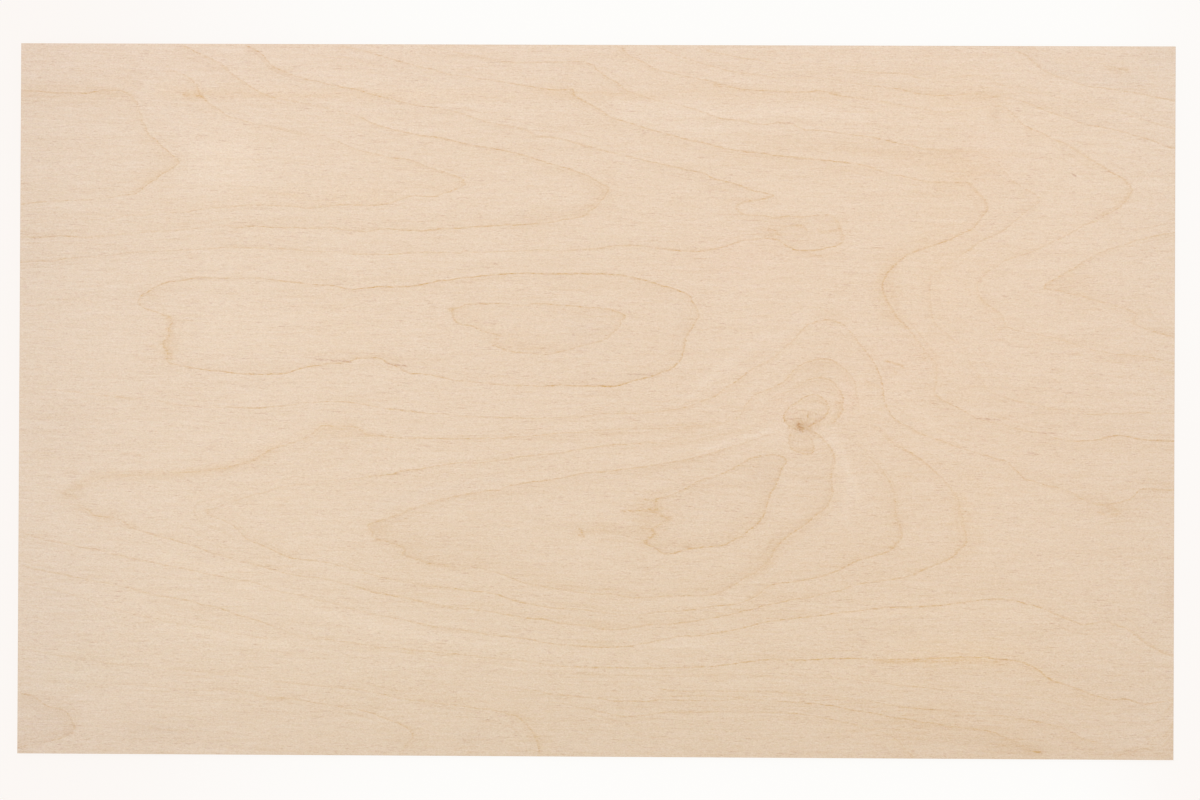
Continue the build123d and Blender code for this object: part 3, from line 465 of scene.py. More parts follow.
# Soft bands of deeper or paler wood: tan and grey steps, half width, points.
BANDS = (
    (3.1, -0.4, 2.6, "0.0,283.0 17.1,284.6 34.2,284.3 47.3,283.1"),
    (4.5, -2.1, 2.6, "59.4,285.0 77.6,283.7 94.7,283.4 119.8,283.1 146.0,283.9 171.2,282.8"),
    (2.2, -1.6, 2.6, "171.2,282.8 197.3,284.6 227.5,284.5 248.5,284.4 270.6,283.4"),
    (2.6, -0.2, 2.6, "270.6,283.4 300.8,285.5 334.8,284.8 359.9,284.0 389.9,283.3 419.9,282.7"),
    (0.9, -0.6, 1.3, "87.7,281.5 119.9,282.1 154.1,281.8"),
    (1.6, -0.1, 1.3, "223.5,285.5 236.5,284.5 265.6,282.4"),
    (4.8, -0.4, 2, "28.0,116.8 35.1,118.9 56.2,119.9 78.2,121.0 97.3,125.0 110.4,131.0"),
    (-2.0, 0.3, 1.9, "332.6,143.0 324.6,140.9 315.6,138.0 307.6,135.1 292.6,132.1"),
    (-1.0, -0.2, 1.6, "322.6,135.0 328.6,136.0 332.6,137.0"),
    (-2.4, -0.5, 2.2, "344.6,139.0 350.5,133.0 354.5,125.1 356.5,115.2 354.6,102.3"),
    (0.7, -0.8, 2.2, "359.5,141.9 369.5,139.0 380.5,133.0 390.5,126.0"),
    (-0.2, -1.8, 2.5, "375.5,163.8 379.5,155.8 386.5,146.9 399.4,135.9"),
    (-0.8, 0.9, 2.2, "307.8,70.8 317.8,74.7 328.7,85.5 341.6,97.4"),
    (-1.0, -0.6, 2, "334.5,174.7 326.6,169.7 317.6,161.8 311.6,154.9"),
    (-2.0, -0.2, 2, "322.6,176.6 330.6,185.6 337.6,190.5"),
    (-0.4, -1.2, 2.2, "360.5,183.6 367.5,176.7 371.5,170.8"),
    (-1.7, -0.3, 2.5, "249.7,65.9 266.8,65.9 292.7,66.8 309.8,67.8"),
    (-0.3, -1.6, 2.4, "95.2,73.3 121.3,65.5 147.3,57.7 172.4,51.9"),
    (-1.6, -0.9, 2.6, "121.3,63.5 155.4,54.8 189.5,49.0 232.6,45.1 266.7,46.2 300.8,50.1 335.8,56.8"),
    (-0.3, -0.9, 2.6, "343.8,59.7 377.8,62.4 420.8,65.1 446.7,57.8 471.7,52.5 493.0,42.0"),
    (-0.2, -1.3, 2.4, "414.5,111.0 416.5,98.0 414.6,85.0"),
    (1.3, 0.0, 1.7, "346.6,108.2 337.6,101.4 327.7,93.4 322.7,84.5 311.7,76.7"),
    (0.8, 0.6, 3, "266.7,89.6 288.7,91.6 305.7,93.6"),
    (2.1, 0.1, 2, "163.6,105.4 155.5,100.4 151.5,96.4 157.5,91.4 164.5,88.5"),
    (1.4, -0.1, 3.4, "176.5,83.6 198.6,81.6 223.6,75.8 249.7,71.8 275.8,69.8 300.8,71.8"),
    (4.3, -1.2, 2.4, "369.9,41.7 386.9,42.6 403.9,42.3 420.9,41.1 433.9,38.9 444.0,33.9"),
    (1.3, -0.3, 3.6, "394.9,39.4 420.9,38.1 442.0,29.9 464.1,24.6"),
    (1.0, 0.6, 2.6, "411.6,9.2 424.3,6.1 435.1,3.0"),
    (1.7, 0.2, 2.2, "18.1,17.4 24.2,13.6 22.5,8.7"),
    (0.9, 0.6, 1.8, "2.0,25.0 12.3,21.4 18.2,19.4"),
    (1.7, 0.1, 2.2, "213.5,17.4 220.3,10.9 223.0,2.1"),
    (1.0, 0.2, 1.6, "164.1,13.0 169.1,9.7 167.0,3.1"),
    (1.1, -0.3, 1.6, "370.5,211.5 369.6,202.6 372.5,194.6 376.5,187.7"),
    (0.9, -0.8, 1.5, "410.5,204.7 411.4,196.7 416.4,191.8"),
    (1.8, -0.3, 1.6, "441.4,201.9 452.3,199.9 463.3,196.0 474.2,193.1"),
    (1.1, -0.3, 1.6, "446.4,206.9 454.3,211.0 463.3,216.1 475.3,220.2"),
    (0.7, -0.4, 1.4, "475.2,191.1 477.2,188.1 484.1,184.0"),
    (0.6, -0.3, 1.6, "56.1,200.9 65.1,202.9 77.2,204.8"),
    (1.5, -0.2, 1.6, "64.2,185.9 65.2,177.9 64.3,168.9"),
    (0.7, -0.1, 2.4, "17.1,280.6 42.3,279.2 55.5,276.0"),
    (-1.7, 0.9, 2.6, "142.0,301.9 171.1,292.0 197.3,287.6 223.4,283.5"),
    (-2.8, -1.3, 2.6, "257.6,279.5 283.7,276.6 308.8,275.6 334.8,276.8 359.8,274.0"),
    (1.3, -1.2, 2.4, "69.2,109.0 95.3,113.1 121.4,119.1 133.5,122.2"),
    (-1.5, 2.0, 2.2, "155.5,107.3 180.5,114.2 206.6,118.2"),
    (2.4, 0.0, 1.2, "2.0,286.0 19.0,286.2 39.2,286.3 49.3,286.1"),
    (1.8, -0.1, 1.3, "65.5,282.9 71.5,282.9 77.6,282.9"),
    (1.9, -0.8, 1.6, "85.6,286.6 99.7,286.9 117.8,286.1"),
    (1.2, -0.4, 1.3, "119.8,283.1 135.0,282.0"),
    (-1.7, -0.3, 1.5, "107.9,298.8 124.9,293.4 145.0,288.9 160.1,284.8 172.2,281.8"),
    (-1.5, -0.1, 1.2, "61.5,275.9 69.6,266.8 79.7,260.7 83.8,258.7"),
    (1.3, -0.6, 1.5, "53.8,245.0 61.7,249.9 67.8,255.8"),
    (1.6, -1.6, 2, "86.0,244.7 100.0,242.5 120.1,240.3"),
    (1.3, 0.6, 1, "205.5,226.1 228.5,227.6 240.6,230.1"),
    (1.7, 0.4, 1.2, "120.4,202.6 150.5,202.5 172.5,203.4 186.5,207.3 198.5,209.3 206.5,209.2"),
    (1.5, -0.5, 1.6, "184.3,282.6 205.4,282.5 225.4,283.5 245.6,282.5"),
    (0.8, 0.3, 1.5, "218.4,287.5 238.5,287.5"),
    (-1.0, -1.2, 1.3, "182.3,281.6 200.3,278.6 220.5,275.6"),
    (0.9, -0.6, 1.5, "290.7,282.5 320.8,282.7"),
    (-2.1, -0.4, 2, "260.6,274.5 290.7,270.6 320.7,268.8 345.8,266.9"),
    (2.0, -0.4, 1.8, "350.8,261.1 370.7,258.2 390.8,257.4 402.8,259.5"),
    (1.6, -0.3, 1.4, "345.7,252.0 372.7,253.3 385.7,255.4"),
    (1.5, -0.3, 1.5, "404.8,261.5 412.7,256.6 420.6,247.8 430.6,240.8"),
    (1.1, -0.6, 1.2, "405.7,242.5 413.7,240.6 415.6,235.7 411.5,227.6"),
    (0.7, 0.0, 1.5, "472.5,246.3 475.5,242.4 470.5,235.3"),
    (-2.4, 2.4, 2.4, "440.5,297.0 460.9,291.3 481.0,290.7"),
    (2.6, 0.0, 1.1, "321.6,225.2 326.6,219.3 334.6,216.8 344.6,215.8 351.6,218.4"),
    (1.1, 0.2, 1.5, "371.6,202.5 373.6,208.5 380.6,214.5 390.6,217.5"),
    (1.5, -0.2, 1.3, "374.5,197.6 378.5,189.6 386.5,180.8 392.4,171.8 396.4,161.8"),
    (0.4, -0.6, 1, "371.5,170.8 379.5,167.7"),
    (-2.5, -0.5, 2.2, "292.6,159.8 305.6,169.7 315.6,177.6 320.6,180.6"),
    (-0.8, 2.1, 1.2, "240.6,162.8 265.6,163.3 280.6,164.7"),
    (0.9, 1.2, 1.4, "240.6,154.9 258.7,155.8"),
    (1.4, -0.3, 1.2, "405.5,200.7 415.5,195.8 421.4,189.8 432.3,184.8 442.3,180.8 455.2,178.9 470.1,176.0 485.0,173.0"),
    (0.6, 0.4, 1.6, "440.4,196.8 452.3,193.9 465.3,197.0 478.2,197.1"),
    (3.0, 0.6, 1.4, "20.0,108.7 28.0,105.8 33.1,101.8 40.1,99.8"),
    (2.5, -1.5, 1.6, "66.2,121.0 80.3,123.0 95.4,126.0 103.4,130.0 115.4,135.0 125.5,139.0 135.5,141.0"),
    (0.4, -2.3, 2, "95.3,106.1 110.4,109.2 120.4,112.2"),
    (-0.4, -2.1, 2.4, "60.1,85.0 80.1,80.1 100.2,78.3"),
    (-1.4, -2.6, 2.4, "59.9,55.0 90.0,50.3 115.1,46.6"),
    (-0.3, -1.4, 2, "80.1,68.2 100.2,66.4"),
    (-0.1, 1.4, 1.2, "145.3,57.7 160.4,54.8 178.4,52.9"),
    (1.6, 0.8, 1.6, "4.8,26.8 14.3,23.3 21.2,19.5"),
    (1.4, 0.3, 1.5, "206.5,19.4 215.4,15.3 221.2,8.7 224.1,4.2"),
    (0.9, 0.5, 1.5, "225.6,49.1 245.7,47.2 260.7,47.2"),
    (0.3, -0.7, 2, "190.5,46.0 215.6,43.2 240.6,41.2"),
    (0.9, 0.3, 1.2, "268.7,92.6 275.7,87.6 285.7,86.6 295.7,88.6"),
    (1.2, -0.1, 1.3, "271.6,111.3 285.6,116.3 296.6,121.2"),
    (-1.8, -0.9, 1.6, "300.6,127.2 315.6,133.1 327.6,138.0"),
    (1.4, 0.4, 1.5, "310.7,80.7 322.7,88.5 335.7,97.4 345.6,104.2"),
    (-0.3, -0.7, 1.4, "342.5,137.0 348.6,128.1 350.6,118.2"),
    (2.2, -0.7, 1.6, "410.5,100.0 411.5,94.0 407.6,87.1 398.6,83.2"),
    (1.8, -0.5, 1.6, "404.4,122.0 412.4,116.9 416.4,113.0"),
    (-1.0, -0.2, 1.5, "405.4,115.0 412.5,107.0 420.5,101.0"),
    (0.8, -0.2, 1.4, "430.3,135.9 440.3,130.8 455.3,126.8"),
    (2.2, 1.0, 2, "450.3,119.8 460.3,113.8 470.2,114.7 480.1,119.7 492.0,118.0"),
    (1.4, 0.4, 1.3, "442.7,61.8 450.7,57.7 462.7,55.7 470.7,55.5"),
    (-0.6, 1.1, 1.2, "473.7,51.4 482.6,46.4 490.1,42.8"),
    (0.3, -1.3, 1.6, "360.8,67.6 385.8,66.4 410.8,66.2 430.7,62.0"),
    (-0.2, -2.0, 1.5, "350.8,61.7 380.8,62.4 410.8,62.2 430.7,60.0"),
    (1.9, -0.7, 1.5, "381.1,18.7 401.0,15.5 420.8,11.1 435.2,4.0"),
    (-0.7, 0.8, 1.4, "395.8,12.5 410.5,8.2 420.2,5.0"),
    (0.8, 1.3, 1.2, "460.2,138.8 480.1,138.8"),
    (0.6, 1.2, 1, "440.3,142.8 460.2,141.8 490.0,143.0"),
    (2, 0.3, 3.4, "313.7,264.8 336.8,262.0 361.8,260.1 386.8,259.4 404.8,257.5"),
    (1.8, 0.2, 2, "377.6,218.5 372.5,205.5 375.5,193.6 380.5,184.7"),
    (1.4, 0, 1.3, "399.5,214.6 393.5,205.6 393.5,197.7 397.4,186.7"),
    (1.6, 0.6, 2, "426.4,125.9 441.3,119.8 458.3,109.8 468.3,107.7 479.2,112.7 491.0,117.0"),
    (2, 1.2, 2, "223.6,98.5 239.7,98.5 256.7,97.5 269.7,96.5"),
    (1.8, 0.2, 1.6, "56.1,196.9 63.2,189.9 64.2,178.9 63.2,170.9"),
    (1.3, 0.2, 1.4, "185.5,191.5 191.5,190.5 199.6,182.6 210.6,177.6 223.6,175.6 233.6,178.6"),
    (1.6, 0.2, 1.9, "402.5,112.0 406.5,101.0 406.6,93.1 401.6,87.2"),
    (1.2, 0.2, 1.7, "375.6,108.2 378.6,97.1 375.6,89.3"),
    (1.2, 0.2, 1.6, "348.6,124.1 348.6,113.2 342.6,103.3 332.7,93.5 320.7,80.6"),
    (1.6, 0, 1.4, "472.6,250.4 475.5,243.4 471.5,236.3"),
    (1.4, 0, 1.3, "420.5,214.8 413.5,205.7 414.4,194.8 420.4,184.8"),
    (-2.6, -1.6, 1.7, "327.6,140.0 316.6,138.0 304.6,135.1 292.6,130.1"),
    (-1.6, -1.2, 1.7, "304.6,164.8 297.6,162.7 292.6,158.8 287.6,154.8"),
    (-1.8, -1, 2.4, "348.5,138.0 353.6,131.0 356.5,122.1 359.6,112.2"),
    (1.6, 0.3, 1, "337.6,152.9 343.6,151.9 347.5,148.9 346.6,144.9 341.5,142.0"),
)

# Soft patches: tan and grey steps, X, Y and the two radii.
ZONES = (
    (-1.5, -3.6, 88.8, 256.5, 16, 10),
    (-1.6, -0.7, 79.9, 247.7, 13, 5),
    (-0.7, -1.4, 80.3, 181.9, 24, 14),
    (4.9, 0.7, 270.7, 101.5, 7, 9),
    (3.6, 0.6, 249.7, 97.5, 12, 3),
    (3.7, -0.3, 64.2, 175.9, 4, 8),
    (1.7, 0.4, 454.3, 203.0, 11, 5),
    (2.5, -0.2, 372.6, 202.6, 5, 13),
    (0.9, 0.0, 345.6, 187.6, 6, 5),
    (1.1, 0.8, 343.5, 164.8, 7, 5),
    (5.3, -1.4, 402.7, 251.5, 14, 8),
    (3.6, -1.5, 404.5, 104.0, 5, 14),
    (2.1, 0.8, 467.3, 107.7, 9, 3),
    (3.2, 0.9, 424.2, 5.0, 17, 6),
    (3.3, -0.5, 388.8, 12.5, 26, 6),
    (2.6, -0.2, 140.5, 139.0, 12, 6),
    (4.9, 2.9, 336.5, 142.0, 6, 4),
    (0.5, -1.1, 346.5, 149.9, 5, 6),
    (1.8, 0.6, 245.6, 241.9, 5, 6),
    (0.2, 2.1, 216.5, 231.0, 15, 3),
    (2.3, 0.4, 328.6, 224.2, 11, 4),
    (1.1, 0.2, 5.8, 263.2, 5, 3),
    (1.3, 0.9, 417.9, 275.7, 3, 5),
    (-0.5, 1.9, 479.1, 20.3, 4, 5),
    (-2.1, 2.2, 486.3, 69.7, 3, 11),
    (1.3, -1.4, 364.5, 147.9, 9, 7),
    (-1.1, 1.3, 283.6, 184.5, 4, 17),
    (1.4, 0.2, 189.6, 188.5, 5, 4),
    (1.8, 0.5, 217.6, 176.6, 15, 4),
    (0.9, -0.1, 242.6, 177.6, 11, 4),
    (1.5, -0.4, 59.8, 241.9, 11, 5),
    (2.1, 1.4, 185.5, 90.5, 26, 8),
    (1.9, -1.9, 394.5, 208.6, 15, 26),
    (-1.0, 1.3, 292.7, 110.3, 19, 15),
    (-1.6, -1.5, 488.4, 11.7, 12, 10),
    (-0.8, 2.5, 12.2, 13.4, 10, 6),
    (0.1, 3.4, 487.4, 298.3, 10, 5),
    (0.7, 0.8, 244.6, 285.4, 19, 4),
    (1.6, 0.1, 77.6, 282.7, 9, 3),
    (2.5, -2.0, 402.9, 281.4, 17, 9),
    (1.3, -1.1, 137.4, 182.7, 17, 13),
    (2.2, -1.4, 146.2, 242.2, 17, 4),
    (1.1, 0.3, 360.7, 87.4, 17, 8),
    (-1.5, 1.0, 322.6, 119.2, 9, 13),
    (0.3, -1.2, 164.4, 49.9, 21, 5),
    (-0.2, -0.7, 292.8, 29.3, 86, 6),
    (-0.6, 1.3, 6.9, 214.1, 11, 17),
    (-0.8, 2.1, 17.7, 65.5, 17, 26),
    (0.5, 2.1, 18.1, 138.9, 17, 13),
    (2.4, -3.7, 403.8, 46.3, 30, 6),
    (1.0, 0.3, 446.3, 148.9, 26, 7),
    (0.3, 0.7, 201.5, 209.3, 5, 1.6),
    (1.8, -0.3, 66.2, 185.9, 4, 3),
    (1.8, 0.0, 60.3, 174.9, 4, 4),
    (0.0, 1.5, 76.3, 179.9, 2.6, 9),
    (1.1, 0.2, 184.6, 188.5, 3.5, 2.5),
    (1.4, 0.1, 211.6, 180.6, 5, 1.8),
    (1.3, 1.1, 50.1, 196.9, 8, 3),
    (1.0, -0.2, 53.8, 245.0, 3, 3),
    (2.4, 0.4, 252.5, 242.9, 2.5, 8),
    (1.0, 0.1, 262.6, 283.4, 4, 2),
    (0.9, 0.7, 345.9, 285.8, 4, 3),
    (1.2, -0.5, 360.9, 287.0, 6, 1.5),
    (2.4, 0.1, 393.7, 241.5, 10, 2.4),
    (1.8, -0.2, 393.7, 234.5, 6, 1.8),
    (1.1, 0.4, 469.7, 295.3, 4, 1.2),
    (1.5, 0.1, 421.0, 287.8, 6, 3),
    (2.2, -0.7, 404.8, 292.6, 8, 4),
    (2.7, 0.0, 348.6, 228.2, 4, 3),
    (1.0, 0.2, 334.6, 228.2, 2, 1.6),
    (1.1, 0.1, 320.7, 240.1, 3, 2),
    (0.8, 0.3, 322.7, 226.2, 4, 1.5),
    (0.8, 0.2, 345.5, 186.6, 5, 5),
    (-1.9, 2.7, 244.6, 181.5, 12, 10),
    (1.3, -0.4, 452.4, 209.0, 6, 4),
    (2.5, -0.9, 405.4, 156.8, 6, 4),
    (0.7, -1.7, 361.5, 157.8, 6, 4),
    (1.5, 0.7, 24.0, 114.8, 3.5, 3),
    (1.8, 0.3, 138.5, 133.1, 5, 3),
    (1.2, 0.4, 165.6, 104.3, 5, 2),
    (1.7, -0.1, 149.5, 97.4, 2.5, 4),
    (0.7, -0.3, 164.5, 87.5, 4, 2),
    (0.8, 0.3, 207.6, 116.3, 3, 2),
    (1.2, 0.0, 240.7, 95.6, 2.5, 2),
    (0.5, 1.1, 224.6, 100.5, 4, 2),
    (1.8, -0.8, 122.3, 88.3, 8, 3),
    (1.5, 0.6, 25.2, 15.6, 3, 4),
    (1.0, 1.0, 165.1, 7.5, 4, 5),
    (0.4, 2.0, 195.2, 8.6, 8, 4),
    (-0.1, 3.2, 59.6, 10.0, 20, 4),
    (0.5, -0.7, 60.0, 70.0, 15, 2.5),
    (2.4, 0.1, 264.7, 106.9, 6, 1.6),
    (1.2, 0.1, 277.7, 102.5, 3.5, 1.6),
    (1.1, 0.5, 338.7, 99.4, 4, 3),
    (1.5, 0.5, 375.6, 105.2, 5, 9),
    (1.5, -0.7, 415.4, 114.9, 5, 3),
    (-0.9, 0.2, 402.5, 104.1, 4, 3),
    (1.1, 0.4, 468.3, 106.7, 6, 2),
    (1.0, -0.1, 458.3, 114.8, 5, 2.5),
    (-0.1, 1.2, 492.0, 69.9, 2.5, 9),
    (1.3, -0.9, 363.9, 42.8, 6, 2),
    (2.1, -0.9, 396.1, 22.6, 10, 3),
    (0.7, -0.5, 426.0, 14.1, 8, 3),
    (0.6, 1.0, 465.2, 138.8, 6, 1.5),
    (0.4, -1.4, 395.4, 171.8, 6, 8),
    (1.5, 0.6, 240.6, 209.3, 20, 3),
    (5.6, 7.6, 335.4, 141.6, 2.2, 1.6),
    (2.2, 1.4, 335.9, 142.0, 4, 2.6),
    (5, 3.5, 338.8, 146.8, 0.8, 1),
    (3.5, 2.5, 328.3, 144.9, 0.7, 1.3),
    (1.4, 2.6, 319.8, 120.5, 8, 6),
    (0.8, 1.4, 337.8, 118.9, 5, 9),
    (2.4, 1.4, 344.0, 167.9, 4.5, 3.2),
    (1.6, 0.8, 346.9, 189.1, 5, 2),
    (2.2, 0.2, 446.2, 202.9, 8, 2.2),
    (1.5, 0.3, 23.1, 112.1, 5, 3.6),
    (2.4, 1.2, 25.5, 114.6, 3, 2),
    (2.4, 1, 20.8, 110.7, 2.2, 1.8),
    (2.4, 0.8, 26.5, 106.3, 2.6, 1.6),
    (2, 0.4, 35.5, 102.2, 5, 1.5),
    (1.6, 0.2, 46.7, 98.2, 4.5, 1.5),
    (1.4, 0.1, 68.3, 91.0, 9, 1.7),
    (1.6, 0.4, 154.2, 96.8, 4, 3.4),
    (1.6, 0.2, 250.8, 241.8, 2.6, 4.4),
    (1.3, 0.2, 389.0, 254.9, 10, 4),
    (3, 4.2, 418.4, 275.9, 1.6, 4),
    (2.2, -0.2, 230.0, 285.8, 10, 1.3),
    (2, 0.6, 415.8, 283.5, 6, 2.4),
    (2.5, 1, 492.7, 301.9, 2.2, 2.4),
    (2, 3.2, 493.2, 74.6, 2.4, 6),
    (1.5, 1.5, 437.0, 4.0, 9, 3),
)

# The slow drift of tone over the sheet, partly the wood's own colour and partly painted shade (the fall of the light
# across the sheet painted into its colour), in tan, grey and rose steps: constant, u, v, uu, uv, vv, uuu, uuv, uvv,
# vvv, uuuu, uuuv, uuvv, uvvv, vvvv.
TONE_AND_SHADE_DRIFT = (
    (0.15, -0.73, 0.12),
    (3.20, -0.21, 0.91),
    (-1.57, -2.91, 1.61),
    (-0.22, -3.65, 0.94),
    (0.02, -1.59, 0.06),
    (0.81, -0.09, -1.99),
    (-1.24, -1.56, -0.52),
    (0.48, 0.67, -0.69),
    (-0.46, -0.18, -0.67),
    (-0.40, -1.32, 0.12),
    (-2.97, 8.47, -1.19),
    (-1.15, -0.15, 0.29),
    (-0.39, 0.75, 0.52),
    (-0.04, 1.26, -0.51),
    (-1.61, 3.88, 1.59),
)
DRIFT_POWERS = [(i, t - i) for t in range(5) for i in range(t, -1, -1)]

# Patches with a rosy cast around the knot: rose steps, X, Y and the two radii.
BLUSH = (
    (2.2, 355.5, 153.9, 5.5, 7.5),
    (1.8, 327.6, 148.9, 4.5, 5),
    (1.5, 309.6, 214.3, 22, 11),
    (1.2, 414.7, 258.7, 16, 12),
    (1.2, 380.4, 170.7, 14, 10),
    (-1.5, 24.4, 35.6, 22, 9),
)

KNOT = (337.6, 145.0)

# How much red, green and blue light one step of each tone takes off bare birch: the
# yellow-brown of late wood, the grey of dense or shaded wood, and rose, which adds red.
TAN = (0.0053, 0.0106, 0.0193)
GREY = (0.0091, 0.0106, 0.0109)
ROSE = (-0.0040, 0.0040, 0.0)


def points_of(text):
    """(n, 2) places and (n,) weights; a weight that isn't given is drawn between its neighbours."""
    place, at, weight = [], [], []
    for i, item in enumerate(text.split()):
        v = [float(s) for s in item.split(",")]
        place.append(v[:2])
        if len(v) > 2:
            at.append(i)
            weight.append(v[2])
    place = np.array(place)
    return place, np.interp(np.arange(len(place)), at or [0], weight or [1.0])


def rounded(place, weight, times=1):
    """Adds points between those of a drawn line, so that it bends smoothly through all of them."""
    for _ in range(times):
        ends = np.vstack([2 * place[0] - place[1], place, 2 * place[-1] - place[-2]])
        middle = (9 * (ends[1:-2] + ends[2:-1]) - ends[:-3] - ends[3:]) / 16
        p = np.empty((2 * len(place) - 1, 2))
        w = np.empty(len(p))
        p[0::2], p[1::2] = place, middle
        w[0::2], w[1::2] = weight, (weight[:-1] + weight[1:]) / 2
        place, weight = p, w
    return place, weight


def nearest_on(at, place, weight, reach):
    """For each point of at within reach of a drawn line: its index, distance, side, the line's normal and weight there, and how far past an end it is."""
    low, high = place.min(0) - reach, place.max(0) + reach
    near = np.flatnonzero(((at >= low) & (at <= high)).all(1))
    p = at[near]
    best = np.full(len(p), np.inf)
    side = np.zeros(len(p))
    normal = np.zeros((len(p), 2))
    heavy = np.zeros(len(p))
    past = np.zeros(len(p))
    for i in range(len(place) - 1):
        a, b = place[i], place[i + 1]
        ab = b - a
        size = float(ab @ ab)
        if size < 1e-9:
            continue
        box = ((p >= np.minimum(a, b) - reach) & (p <= np.maximum(a, b) + reach)).all(1)
        k = np.flatnonzero(box)
        if not len(k):
            continue
        q = p[k] - a
        t = q @ ab / size
        s = t.clip(0, 1)
        gap = q - s[:, None] * ab
        d = np.hypot(gap[:, 0], gap[:, 1])
        cross = ab[0] * q[:, 1] - ab[1] * q[:, 0]
        # at a shared corner the segment that faces the point more squarely decides the side
        off = np.abs(cross) / math.sqrt(size)
        closer = (d < best[k] - 1e-9) | ((d < best[k] + 1e-9) & (off > np.abs(side[k])))
        k, closer_d = k[closer], d[closer]
        best[k] = closer_d
        side[k] = np.where(cross[closer] <= 0, 1.0, -1.0) * off[closer]
        n = np.array([ab[1], -ab[0]]) / math.sqrt(size)
        normal[k] = n
        heavy[k] = weight[i] + (weight[i + 1] - weight[i]) * s[closer]
        over = np.zeros(len(k))
        if i == 0:
            over = np.maximum(over, -t[closer] * math.sqrt(size))
        if i == len(place) - 2:
            over = np.maximum(over, (t[closer] - 1) * math.sqrt(size))
        past[k] = np.maximum(over, 0)
    keep = best < reach
    return near[keep], best[keep], np.sign(side[keep]), normal[keep], heavy[keep], past[keep]


def figure(at):
    """The face figure at each point: the growth line field, two mark fields and the broad tone, part of which is
    painted shade.
    """
    n = len(at)
    line = np.zeros((n, 6))          # signed distance, distance, the normal's X, weight, the two shades
    line[:, 0] = line[:, 1] = 30.0
    second = np.full(n, 30.0)        # distance of the next nearest line
    for _, dark, core, shade, text in GROWTH_LINES:
        place, weight = rounded(*points_of(text))
        i, d, side, normal, heavy, past = nearest_on(at, place, weight, 22.0)
        heavy = heavy * np.exp(-((past / 1.0) ** 2))
        take = d < line[i, 1]
        second[i] = np.minimum(second[i], np.where(take, line[i, 1], d))
        i, d, side, normal, heavy = i[take], d[take], side[take], normal[take], heavy[take]
        line[i, 0] = side * dark * d
        line[i, 1] = d
        line[i, 2] = normal[:, 0] * dark
        line[i, 3] = heavy * core
        line[i, 4] = heavy * shade[0]
        line[i, 5] = heavy * shade[1]
    # the short marks, in two fields, so that marks close together don't run into each other
    marks = []
    for kind, strength, width, text in MARKS:
        place, weight = points_of(text)
        marks.append((kind, strength, width, place, weight))
    parts = ([], [])
    for one in marks:
        crowd = [sum(np.hypot(*(one[3][:, None] - o[3][None]).T).min() < 5.0 for o in part) for part in parts]
        parts[int(crowd[1] < crowd[0])].append(one)
    fields = []
    for part in parts:
        mark = np.zeros((n, 4))      # signed distance over width, distance, weight if purple, weight if ochre
        mark[:, 0] = mark[:, 1] = 30.0
        for kind, strength, width, place, weight in part:
            i, d, side, normal, heavy, past = nearest_on(at, place, weight, 3.5)
            take = d < mark[i, 1]
            i, d, side, past = i[take], d[take], side[take], past[take]
            mark[i, 0] = side * d / width
            mark[i, 1] = d
            shown = strength * np.exp(-((past / 0.75) ** 2))
            mark[i, 2] = shown * kind
            mark[i, 3] = shown * (1 - kind)
        fields.append(mark)
    # the broad tone, in tan, grey and rose steps: a slow drift over the whole sheet, partly the wood's own tone and
    # partly painted shade from the fall of the light, then bands and patches of the wood's own tone
    u, v = at[:, 0] * 2 / LENGTH - 1, at[:, 1] * 2 / WIDTH - 1
    terms = np.stack([u**i * v**j for i, j in DRIFT_POWERS], 1)
    tone = terms @ np.array(TONE_AND_SHADE_DRIFT)
    for tan, grey, half, text in BANDS:
        place, weight = rounded(*points_of(text), times=2)
        i, d, _, _, _, _ = nearest_on(at, place, weight, 3.2 * half)
        soft = np.exp(-((d / half) ** 2)) * (1 - (d / (3.2 * half)) ** 2)
        tone[i, :2] += soft[:, None] * np.array((tan, grey))
    for tan, grey, x, y, rx, ry in ZONES:
        r2 = ((at[:, 0] - x) / rx) ** 2 + ((at[:, 1] - y) / ry) ** 2
        tone[:, :2] += np.exp(-r2)[:, None] * np.array((tan, grey))
    for rose, x, y, rx, ry in BLUSH:
        r2 = ((at[:, 0] - x) / rx) ** 2 + ((at[:, 1] - y) / ry) ** 2
        tone[:, 2] += np.exp(-r2) * rose
    clear = ((second - line[:, 1]) / 2.5).clip(0, 1) * np.exp(-((line[:, 1] / 8.0) ** 2))
    return line, fields, tone, clear


def spaced(length, near, reach, coarse, fine):
    """Places from one arris to the other, about coarse apart and fine apart within reach of near."""
    low, high = ARRIS, length - ARRIS
    a, b = near - reach, near + reach
    parts = [(low, a, coarse), (a, b, fine), (b, high, coarse)]
    runs = [np.linspace(p, q, round((q - p) / step) + 1)[:-1] for p, q, step in parts]
    return np.concatenate([*runs, [high]])


